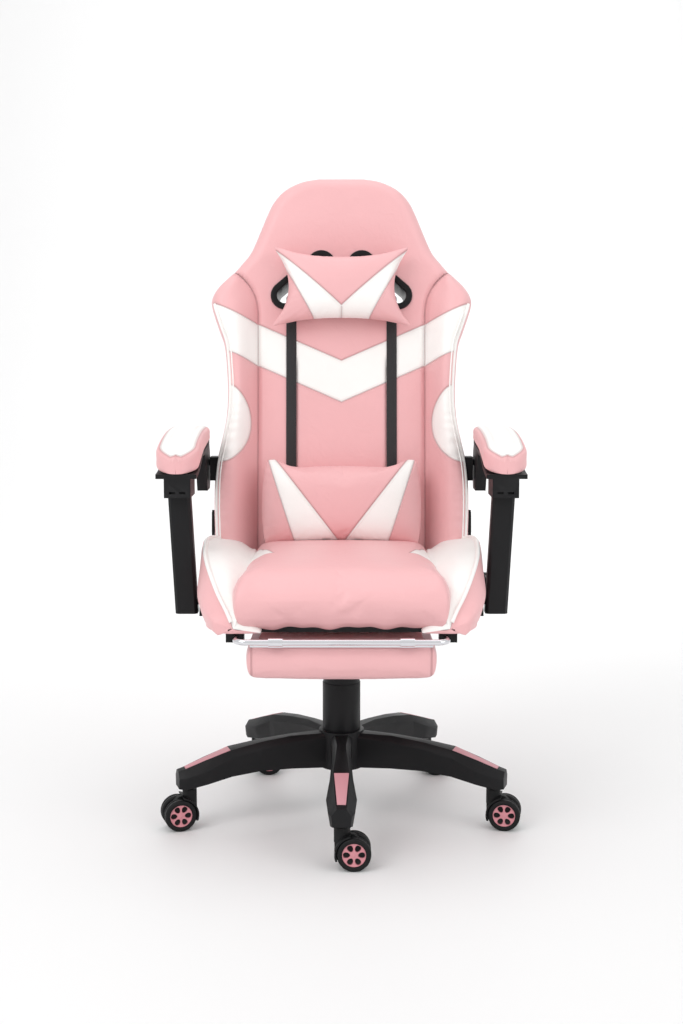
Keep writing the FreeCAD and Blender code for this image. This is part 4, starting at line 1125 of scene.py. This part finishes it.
# ---------------------------------------------------------------- seat
@dataclass
class Seat:
    """The seat: a thick middle cushion with a rolled front, between two winged bolsters."""

    front: float = -0.262
    rear: float = 0.152
    low: float = 0.398
    top: float = 0.490
    roll: float = 0.058
    half_front: float = 0.184
    half_rear: float = 0.170
    stations: Sequence = (-0.256, -0.244, -0.2, -0.15, -0.1, -0.05, 0.0, 0.04, 0.1, 0.15)
    outer: Sequence = (0.207, 0.220, 0.238, 0.250, 0.256, 0.258, 0.259, 0.258, 0.254, 0.240)
    peak_x: Sequence = (0.184, 0.193, 0.212, 0.229, 0.241, 0.248, 0.251, 0.252, 0.247, 0.232)
    peak_z: Sequence = (0.410, 0.428, 0.452, 0.477, 0.494, 0.504, 0.510, 0.512, 0.508, 0.498)
    inner_z: Sequence = (0.408, 0.426, 0.444, 0.462, 0.474, 0.480, 0.482, 0.482, 0.482, 0.482)
    inner_x: float = 0.166
    piping: float = 0.0034

    def middle_form(self) -> Slab:
        """The middle cushion's form: a crowned top, a flat base and a rolled front edge."""
        def top(x: Array, y: Array, inside: Array) -> Array:
            """The crowned top, which falls away in the roll at the front."""
            t = np.clip((self.front + self.roll - y) / self.roll, 0, 1)
            drop = self.roll * (1 - np.sqrt(np.maximum(1 - t ** 2, 0))) * 0.72
            crown = 0.006 * (1 - (x / self.half_front) ** 2) * step_up(y, -0.26, -0.12)
            return self.top + crown - drop

        def base(x: Array, y: Array, inside: Array) -> Array:
            """The underside, with a wavy hem along the front."""
            wave = 0.0018 * np.sin(x * 62) + 0.0012 * np.sin(x * 131 + 1)
            return self.low - 0.001 + (wave + 0.002) * (1 - step_up(y, -0.26, -0.2))

        rows = [(self.front, self.half_front - 0.004), (-0.22, self.half_front),
                (-0.05, 0.180), (self.rear, self.half_rear)]
        return Slab(rows, top, base, lambda x, y: np.full_like(x, 0.436), 0.026, 2.6, 91, 91)

    def bolster(self, side: str) -> None:
        """One bolster: loops through the inner foot, inner top, piped peak, outer wall and hem."""
        sign = SIDES[side]
        count = 70
        at = np.linspace(0, len(self.stations) - 1, count)
        table = np.array([self.stations, self.outer, self.peak_x, self.peak_z, self.inner_z]).T
        y, outer, peak_x, peak_z, inner_z = smooth_path(table, count).T
        around, peak_knot = 64, 5
        loops, panels, rail = [], [], []
        for k in range(count):
            middle = (inner_z[k] + peak_z[k]) / 2 + 0.004
            wall = self.low + (peak_z[k] - self.low) * 0.5
            tuck = 0.004 + 0.012 * float(step_up(y[k], -0.23, -0.12))
            knots = [(self.inner_x - 0.03, self.low - 0.003),
                     (self.inner_x - 0.004, inner_z[k] - 0.012),
                     (self.inner_x + 0.01, inner_z[k] - 0.002),
                     ((self.inner_x + peak_x[k]) / 2, middle),
                     (peak_x[k] - 0.004, peak_z[k] - 0.002), (peak_x[k], peak_z[k]),
                     (peak_x[k] + 0.006, peak_z[k] - 0.006), (outer[k], wall + 0.006),
                     (outer[k] - 0.001, wall - 0.014), (outer[k] - tuck, self.low + 0.002),
                     (outer[k] - tuck - 0.009, self.low - 0.004)]
            loop = smooth_path(knots, around, closed=True)
            arc = np.cumsum(np.linalg.norm(np.roll(loop, -1, 0) - loop, axis=1))
            at_peak = np.argmin(np.abs(np.arange(around) / around * len(knots) - peak_knot))
            along = np.full(around, y[k])
            loops.append(np.stack([sign * loop[:, 0], along, loop[:, 1]], 1))
            panels.append(np.stack([np.full(around, sign * peak_x[k]), along,
                                    arc[at_peak] - arc], 1))
            rail.append((sign * peak_x[k], y[k], peak_z[k]))
        rings = np.array(loops)
        shrink = np.ones(count)
        nose = 3
        shrink[:nose] = np.sin(np.linspace(0.35, math.pi / 2, nose))
        shrink[-nose:] = np.sin(np.linspace(math.pi / 2, 0.5, nose))
        centre = rings.mean(1, keepdims=True)
        rings = centre + (rings - centre) * shrink[:, None, None]
        name = f"seat_bolster_{side}"
        obj = skin(name, rings)
        store_nearest(obj, "panel", rings.reshape(-1, 3), np.array(panels).reshape(-1, 3))
        finish_piece(obj, "seat", FINISH["leather_bolster"])
        line = np.array(rail)[2:-2]
        finish_piece(sweep(f"{name}_piping", line, circle(self.piping, 12)), "seat",
                     FINISH["leather_white"])

    def build(self) -> None:
        """Builds the cushion's three parts."""
        form = self.middle_form()
        cushion = form.build("seat_middle_cushion", lambda x, y, z: np.stack([x, y, z], -1))
        Inflation(0.0052, 3.0, 0.007, 14).run(cushion)
        spots = coords(cushion)
        form.repanel(cushion, spots[:, 0], spots[:, 1], spots[:, 2])
        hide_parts("seat_cushion")
        finish_piece(cushion, "seat", FINISH["leather_seat"])
        for side in SIDES:
            self.bolster(side)


# ---------------------------------------------------------------- footrest
@dataclass
class Footrest:
    """The pull-out footrest: a chromed rod on two guides each side, and a folding pad."""

    def build(self) -> None:
        """Builds the pad, and dresses the rod, board and guides."""
        low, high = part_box("footrest_pad")
        form = Slab([(low.y, high.x - 0.002), (low.y + 0.08, high.x), (high.y, high.x - 0.002)],
                    lambda x, y, e: np.full_like(x, high.z - 0.001),
                    lambda x, y, e: low.z + 0.003 - 0.004 * (1 - (x / high.x) ** 2),
                    lambda x, y: np.full_like(x, (low.z + high.z) / 2), 0.017, 2.6, 81, 61)
        pad = form.build("footrest_cushion", lambda x, y, z: np.stack([x, y, z], -1))
        Inflation(0.005, 2.6, 0.003, 12).run(pad)
        spots = coords(pad)
        spots[:, 2] = np.minimum(spots[:, 2], high.z + 0.0005)
        set_coords(pad, spots)
        form.repanel(pad, spots[:, 0], spots[:, 1], spots[:, 2])
        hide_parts("footrest_pad")
        finish_piece(pad, "footrest_pad", FINISH["leather_footrest"])
        FINISH.dress("footrest_rod", "chrome")
        FINISH.dress("footrest_board", "chrome")
        refine_all(["footrest_guides"], "seat", "plastic_black", 0.0015)


# ---------------------------------------------------------------- backrest
@dataclass
class Backrest:
    """The winged back: a sculpted slab with raised side bolsters, piping and harness slots."""

    rows: Sequence = (
        (0.010, 0.205), (0.022, 0.226), (0.040, 0.239), (0.059, 0.249), (0.083, 0.251),
        (0.131, 0.252), (0.179, 0.251), (0.215, 0.247), (0.251, 0.239), (0.299, 0.229),
        (0.347, 0.226), (0.396, 0.228), (0.444, 0.233), (0.480, 0.245), (0.520, 0.258),
        (0.541, 0.258), (0.565, 0.244), (0.589, 0.220), (0.614, 0.198), (0.638, 0.180),
        (0.687, 0.159), (0.711, 0.149), (0.735, 0.137), (0.756, 0.119), (0.770, 0.097),
        (0.779, 0.072), (0.783, 0.045))
    front: float = -0.030
    rear: float = 0.045
    seam: float = 0.165
    slot_ends: Sequence = ((0.040, 0.606), (0.112, 0.544))
    slot_radius: float = 0.0225
    strap_x: float = 0.099
    strap_wide: float = 0.020
    strap_thick: float = 0.0016
    behind: float = 0.0492
    piping_inset: float = 0.0098
    welt_inset: float = 0.0155
    heights: Sequence = ((0.0, 0.026), (0.06, 0.046), (0.2, 0.050), (0.4, 0.047), (0.48, 0.044),
                         (0.54, 0.030), (0.6, 0.014), (0.66, 0.004), (0.8, 0.0))

    def face(self, x: Array, v: Array, inside: Array) -> Array:
        """The front: a crowned centre, two sewn channels, and bolsters that rise outwards."""
        across = np.abs(x)
        seam = self.seam + 44 * np.maximum(v - 0.49, 0) ** 3
        crown = 0.006 * np.clip(1 - (across / 0.17) ** 2, 0, 1) * (1 - step_up(v, 0.46, 0.54))
        high = smooth_path(self.heights, 200)
        rise = np.interp(v, high[:, 0], high[:, 1])
        out = np.clip((across - seam) / np.maximum(self.middle_edge(v) - seam, 0.02), 0, 1)
        lift = rise * np.sin(np.clip(out / 0.62, 0, 1) * np.pi / 2) ** 1.4
        fade = 1 - step_up(v, 0.585, 0.60)
        channel = 0.006 * np.exp(-((across - seam) / 0.005) ** 2) * fade
        channel = channel + 0.005 * bump_at(across, 0.091, 0.005) * (1 - step_up(v, 0.40, 0.43))
        head = 0.010 * step_up(v, 0.60, 0.70) * np.clip(1 - (across / 0.16) ** 2, 0, 1)
        pucker = 0.0009 * np.sin(v * 330 + 2 * np.sin(v * 41)) * bump_at(inside, 0.022, 0.012)
        pucker = pucker * (1 - step_up(v, 0.30, 0.34))
        return self.front - crown - lift - head + channel - pucker

    def middle_edge(self, v: Array) -> Array:
        """The outline's half width at a height."""
        table = smooth_path(self.rows, 600)
        order = np.argsort(table[:, 0])
        return np.interp(v, table[order, 0], table[order, 1])

    def back_face(self, x: Array, v: Array, inside: Array) -> Array:
        """The rear: a shallow dome with a seam line inside its edge."""
        dome = 0.004 * np.clip(inside / 0.08, 0, 1)
        groove = 0.002 * bump_at(inside, 0.034, 0.003)
        return self.rear - 0.004 + dome - groove

    def form(self) -> Slab:
        """The backrest's closed form."""
        return Slab(self.rows, self.face, self.back_face, lambda x, v: np.full_like(x, 0.014),
                    0.030, 2.5, 171, 221, -1)

    def slot_path(self, sign: int, radius: float, count: int = 56) -> Array:
        """The (x, v) outline of a slanted slot: two half circles and two straight sides."""
        (x0, v0), (x1, v1) = self.slot_ends
        way = math.atan2(v1 - v0, x1 - x0)
        angles = np.linspace(0, 2 * np.pi, count, endpoint=False) + way
        low = np.cos(angles - way) >= 0
        centre = np.where(low[:, None], (x1, v1), (x0, v0))
        outline = centre + radius * np.stack([np.cos(angles), np.sin(angles)], 1)
        return outline * np.array([sign, 1])

    def cut_slots(self, shell: Object) -> None:
        """Cuts the two harness slots right through the shell."""
        for sign in SIDES.values():
            outline = self.slot_path(sign, self.slot_radius)
            rings = np.array([on_back(outline[:, 0], outline[:, 1], np.full(len(outline), d))
                              for d in (-0.09, 0.09)])
            knife = skin("knife", rings)
            cut = shell.modifiers.new("slot", "BOOLEAN")
            cut.operation = "DIFFERENCE"
            cut.solver = "EXACT"
            cut.object = knife
            apply_modifiers(shell)
            bpy.data.objects.remove(knife)

    def bezel(self, side: str) -> None:
        """The moulded liner of a slot: a lip on both faces and a tube between them."""
        outline = [(-0.0095, 0.020), (-0.0078, -0.026), (-0.0066, -0.0335), (0.0016, -0.0358),
                   (0.0045, -0.0352), (0.0058, -0.0318), (0.0048, -0.0285), (0.0010, -0.0260),
                   (0.0010, 0.038), (0.0055, 0.0418), (0.0060, 0.0455), (0.0035, 0.0480),
                   (-0.0060, 0.0478), (-0.0095, 0.0440)]
        rings = []
        for offset, d in outline:
            path = self.slot_path(SIDES[side], self.slot_radius + offset)
            rings.append(on_back(path[:, 0], path[:, 1], np.full(len(path), d)))
        ring = skin(f"harness_bezel_{side}", np.array(rings).swapaxes(0, 1), closed=True)
        if side == "left":
            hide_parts("harness_bezels")
        bevel(ring, 0.0004, 2, 50)
        finish_piece(ring, "backrest", FINISH["plastic_gloss"])

    def piping(self, form: Slab, side: str) -> None:
        """White piping along the seam between the front and the side of the shell."""
        sign = SIDES[side]
        line = form.rim(self.piping_inset, 0.040, 0.523, 160, on_back, sign)
        outward = np.array(BACK.to_3x3() @ Vector((0, -1, 0)))
        tube = sweep(f"back_piping_{side}", line + outward * 0.0008, circle(0.0034, 12))
        finish_piece(tube, "backrest", FINISH["leather_white"])
        second = form.rim(self.welt_inset, 0.040, 0.505, 160, on_back, sign)
        welt = sweep(f"back_welt_{side}", second + outward * 0.0002, circle(0.0016, 8))
        finish_piece(welt, "backrest", FINISH["leather_white"])

    def strap(self, form: Slab, side: str) -> None:
        """An elastic band: down the front, round the bottom, up the rear and through the slot."""
        sign = SIDES[side]
        x = np.full(24, self.strap_x)
        v = np.linspace(0.012, 0.512, 24)
        d = np.minimum(self.face(x, v, np.full(24, 0.1)), self.front) - 0.0022
        up = np.stack([x, v, d], 1)
        turns = [(0.524, self.front - 0.0085), (0.538, self.front - 0.006), (0.548, 0.0),
                 (0.546, 0.040), (0.528, 0.0500), (0.40, self.behind), (0.2, self.behind),
                 (0.02, self.behind), (0.005, 0.042), (0.004, 0.0), (0.005, -0.026)]
        rest = np.array([(self.strap_x, *turn) for turn in turns])
        path = rounded_path(np.vstack([up, rest]), 0.008, 4, closed=True)
        world = on_back(sign * path[:, 0], path[:, 1], path[:, 2])
        section = strip_section(self.strap_wide, self.strap_thick)
        band = sweep(f"pillow_strap_{side}", world, section, True, Vector((1, 0, 0)))
        finish_piece(band, "backrest", FINISH["webbing"])

    def head_band(self) -> None:
        """The elastic band that holds the head pillow, through both slots."""
        half = [(0.050, self.front - 0.006), (0.062, 0.0), (0.062, 0.040), (0.052, 0.0498)]
        corners = [(-0.050, self.front - 0.006)] + half + [(-x, d) for x, d in half[:0:-1]]
        path = rounded_path([(x, 0.590, d) for x, d in corners], 0.014, 6, closed=True)
        world = on_back(path[:, 0], path[:, 1], path[:, 2])
        section = strip_section(self.strap_wide, self.strap_thick)
        rise = BACK.to_3x3() @ Vector((0, 0, 1))
        band = sweep("head_pillow_band", world, section, True, rise)
        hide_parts("pillow_straps")
        finish_piece(band, "backrest", FINISH["webbing"])

    def build(self) -> None:
        """Builds the shell and everything fastened to it."""
        form = self.form()
        shell = form.build("backrest_shell", on_back)
        self.cut_slots(shell)
        x, v, d = from_back(coords(shell))
        form.repanel(shell, x, v, -d)
        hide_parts("backrest_cushion")
        finish_piece(shell, "backrest", FINISH["leather_backrest"])
        for side in SIDES:
            self.bezel(side)
            self.piping(form, side)
            self.strap(form, side)
        self.head_band()
        refine_all(["back_arm_blocks"], "backrest", "plastic_black", 0.0018)


# ---------------------------------------------------------------- pillows
@dataclass
class Pillow:
    """A stuffed pillow whose sides pull in between its corners.

    Over the square of u across and t up, x = u * side(t) and v runs from bottom(u) to top(u);
    the thickness at (u, t) is the full one times (1 - |u|^a)^b * (1 - |t|^a)^b.
    """

    name: str
    body: str
    node: str
    finish: str
    side: Callable[[Array], Array]
    top: Callable[[Array], Array]
    bottom: Callable[[Array], Array]
    depth: float
    thick_front: float
    thick_back: float
    flat_back: float
    inflation: Inflation
    power: float = 2.6
    count: int = 81

    def grid(self) -> tuple[Array, Array, Array, Array]:
        """Across, up, and the front and back depths over the grid."""
        u = np.sin(np.linspace(-1, 1, self.count) * np.pi / 2)
        t, u = np.meshgrid(u, u, indexing="ij")
        x = u * self.side(t)
        v = self.bottom(u) * (1 - t) / 2 + self.top(u) * (1 + t) / 2
        full = ((1 - np.abs(u) ** self.power) * (1 - np.abs(t) ** self.power)) ** 0.52
        front = self.depth - self.thick_front * full
        back = np.minimum(self.depth + self.thick_back * full, self.flat_back)
        return x, v, front, back

    def edge_line(self) -> Array:
        """The pillow's outline as an (n, 3) loop of across, up and depth."""
        x, v, _, _ = self.grid()
        places = np.stack([x, v], -1)
        return np.vstack([places[0], places[1:, -1], places[-1, -2::-1], places[-2:0:-1, 0]])

    def build(self) -> None:
        """Builds, inflates and dresses the pillow."""
        x, v, front, back = self.grid()
        count = x.size
        quads = grid_faces(*x.shape)
        verts = np.vstack([on_back(x, v, front).reshape(-1, 3), on_back(x, v, back).reshape(-1, 3)])
        obj = link_mesh(self.name, verts, np.vstack([quads, quads[:, ::-1] + count]).tolist())
        face_outwards(obj)
        self.inflation.run(obj)
        spots = coords(obj)
        across, up, through = from_back(spots)
        border = self.edge_line()
        away = nearest_distance(np.stack([across, up], 1), border)
        angle = np.arctan2(up - up.mean(), across)
        pucker = 0.0011 * np.sin(angle * 46 + 3 * np.sin(angle * 7)) * np.exp(-away / 0.013)
        on_front = through < self.depth
        through = np.where(on_front, through - pucker, np.minimum(through, self.flat_back))
        set_coords(obj, on_back(across, up, through))
        store(obj, "panel", np.stack([across, up, np.where(on_front, away, -away)], 1))
        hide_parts(self.node)
        finish_piece(obj, self.body, FINISH[self.finish])


def pillows() -> list[Pillow]:
    """The head pillow, with drawn-out corners, and the fuller lumbar pillow."""
    head = Pillow("head_pillow_cover", "head_pillow", "head_pillow", "leather_head",
                  lambda t: 0.112 + np.where(t > 0, 0.025, 0.028) * np.abs(t) ** 1.9,
                  lambda u: 0.618 + 0.023 * np.abs(u) ** 2.1,
                  lambda u: 0.487 - 0.016 * np.abs(u) ** 2.2,
                  -0.060, 0.042, 0.030, -0.0430, Inflation(0.0042, 4.0, 0.012, 18), 2.7)
    lumbar = Pillow("lumbar_pillow_cover", "lumbar_pillow", "lumbar_pillow", "leather_lumbar",
                    lambda t: 0.156 - 0.006 * np.abs(t) ** 2.2,
                    lambda u: 0.207 + 0.009 * bump_at(np.abs(u), 0.9, 0.22),
                    lambda u: 0.052 - 0.004 * np.abs(u) ** 2,
                    -0.076, 0.044, 0.040, -0.0375, Inflation(0.0046, 4.0, 0.010, 18), 3.4)
    return [head, lumbar]


# ---------------------------------------------------------------- armrests
@dataclass
class Armrest:
    """One armrest: a padded top on a black tray with a hood, and the post inside the hood."""

    side: str
    half: float = 0.038
    nose: float = 0.038
    heel: float = 0.014
    tops: Sequence = ((-0.108, 0.676), (-0.098, 0.686), (-0.07, 0.697), (-0.02, 0.708),
                      (0.06, 0.717), (0.152, 0.719))
    lows: Sequence = ((-0.108, 0.6486), (-0.05, 0.6625), (0.02, 0.6785), (0.08, 0.6850),
                      (0.152, 0.6925))

    def pad(self) -> None:
        """Sections across the pad, from nose to heel, with a crowned top and a wall below it."""
        low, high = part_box(f"armrest_pad_{self.side}")
        centre = (low.x + high.x) / 2
        count, around = 90, 64
        t = np.linspace(0, 1, count)
        y = low.y + (high.y - low.y) * (0.35 * (1 - np.cos(np.pi * t)) + 0.3 * t)
        front = np.clip((low.y + self.nose - y) / self.nose, 0, 0.9995)
        back = np.clip((y - (high.y - self.heel)) / self.heel, 0, 0.9995)
        half = self.half * np.sqrt(1 - front ** 2) - self.heel * (1 - np.sqrt(1 - back ** 2))
        tops, lows = smooth_path(self.tops, 200), smooth_path(self.lows, 200)
        top = np.interp(y, tops[:, 0], tops[:, 1])
        base = np.interp(y, lows[:, 0], lows[:, 1])
        rings, panels = [], []
        for k in range(count):
            w, seam = half[k], min(0.009, (top[k] - base[k]) * 0.34)
            round_off = min(seam, w * 0.6)
            wall = [(w - round_off * 1.5, top[k] - 0.0006),
                    (w - round_off * 0.45, top[k] - seam * 0.38), (w, top[k] - seam),
                    (w, (top[k] + base[k]) / 2 - 0.002), (w * 0.96, base[k] + 0.001)]
            knots = ([(-x, z) for x, z in wall[::-1]] + [(0, top[k] + 0.0012)] + wall
                     + [(w * 0.5, base[k]), (-w * 0.5, base[k])])
            loop = smooth_path(knots, around, closed=True)
            place_on = np.arange(around) / around * len(knots)
            white = np.minimum(place_on - 2.6, 7.4 - place_on) * 0.0045
            edge = (1 - front[k]) * self.nose
            white = np.minimum(white, edge * 1.2 - 0.0015 if front[k] > 0 else 1)
            rings.append(np.stack([centre + loop[:, 0], np.full(around, y[k]), loop[:, 1]], 1))
            panels.append(np.stack([loop[:, 0], np.full(around, y[k]), white], 1))
        rings = np.array(rings)
        obj = skin(f"armrest_cushion_{self.side}", rings)
        store_nearest(obj, "panel", rings.reshape(-1, 3), np.array(panels).reshape(-1, 3))
        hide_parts(f"armrest_pad_{self.side}")
        finish_piece(obj, f"armrest_{self.side}",
                               FINISH["leather_arm_pad"])

    def build(self) -> None:
        """Builds the pad, the tray with its hood, and the post."""
        self.pad()
        for part, rounding in (("armrest", 0.0016), ("arm_post", 0.0022)):
            node = f"{part}_{self.side}"
            refine_all([node], node, "plastic_black", rounding)


# ---------------------------------------------------------------- studio
@dataclass
class Studio:
    """A pale sweep of floor and backdrop, soft lights and the camera."""

    camera_at: tuple = (0.0, -2.6, 0.89)
    camera_tilt: float = 82.95
    lens: float = 50.0
    world_light: float = 0.83

    def floor(self) -> None:
        """A floor that curves up into a backdrop far behind the chair."""
        bend = np.linspace(0, np.pi / 2, 16)[1:]
        y = np.concatenate([np.linspace(-14, 4, 30), 4 + 2.5 * np.sin(bend), np.full(8, 6.5)])
        z = np.concatenate([np.zeros(30), 2.5 * (1 - np.cos(bend)), np.linspace(3, 9, 8)])
        x = np.linspace(-8, 8, 9)
        grid = np.stack(np.broadcast_arrays(x, y[:, None], z[:, None]), -1)
        sweep_floor = link_mesh("studio_floor", grid, grid_faces(*grid.shape[:2]).tolist())
        material = bpy.data.materials.new("studio_paper")
        material.use_nodes = True
        graph = Graph(material.node_tree)
        shader = graph.tree.nodes["Principled BSDF"]
        cloud = graph.noise(graph.place(), 1.2, 2.0)
        graph.put(shader.inputs["Base Color"], graph.mix(graph.math("MULTIPLY", cloud, 0.3),
                                                         (0.86, 0.86, 0.86, 1), (0.82, 0.82, 0.825, 1)))
        shader.inputs["Roughness"].default_value = 0.55
        sweep_floor.data.materials.append(material)

    def lamp(self, name: str, place_at: tuple, aim: tuple, size: float, power: float) -> None:
        """A square soft light aimed at a point."""
        light = bpy.data.lights.new(name, "AREA")
        light.size = size
        light.energy = power
        obj = bpy.data.objects.new(name, light)
        obj.location = place_at
        obj.rotation_euler = (Vector(aim) - Vector(place_at)).to_track_quat("-Z", "Y").to_euler()
        bpy.context.scene.collection.objects.link(obj)

    def build(self) -> None:
        """Builds the studio."""
        self.floor()
        self.lamp("key", (-2.6, -2.6, 3.4), (0, 0, 0.7), 2.6, 60)
        self.lamp("fill", (3.0, -2.4, 2.2), (0, 0, 0.6), 2.6, 26)
        self.lamp("top", (0, 0.3, 4.2), (0, 0.2, 0), 3.2, 24)
        self.lamp("back", (0.6, 3.2, 3.2), (0, 4.5, 1.5), 3.0, 60)
        world = bpy.data.worlds.new("studio_world")
        world.use_nodes = True
        world.node_tree.nodes["Background"].inputs[0].default_value = (1, 1, 1, 1)
        world.node_tree.nodes["Background"].inputs[1].default_value = self.world_light
        bpy.context.scene.world = world
        bpy.context.scene.view_settings.view_transform = "Standard"
        camera = bpy.data.cameras.new("camera")
        camera.lens = self.lens
        camera.sensor_width = 36
        obj = bpy.data.objects.new("camera", camera)
        obj.location = self.camera_at
        obj.rotation_euler = (math.radians(self.camera_tilt), 0, 0)
        bpy.context.scene.collection.objects.link(obj)
        bpy.context.scene.camera = obj


def main() -> None:
    """Builds the chair, piece by piece."""
    Studio().build()
    StarBase().build()
    for number in range(1, 6):
        Caster(number).build()
    Column().build()
    Mechanism().build()
    Seat().build()
    Footrest().build()
    Backrest().build()
    for pillow in pillows():
        pillow.build()
    for side in SIDES:
        Armrest(side).build()


if __name__ == "__main__":
    logging.basicConfig(level=logging.INFO)
    main()
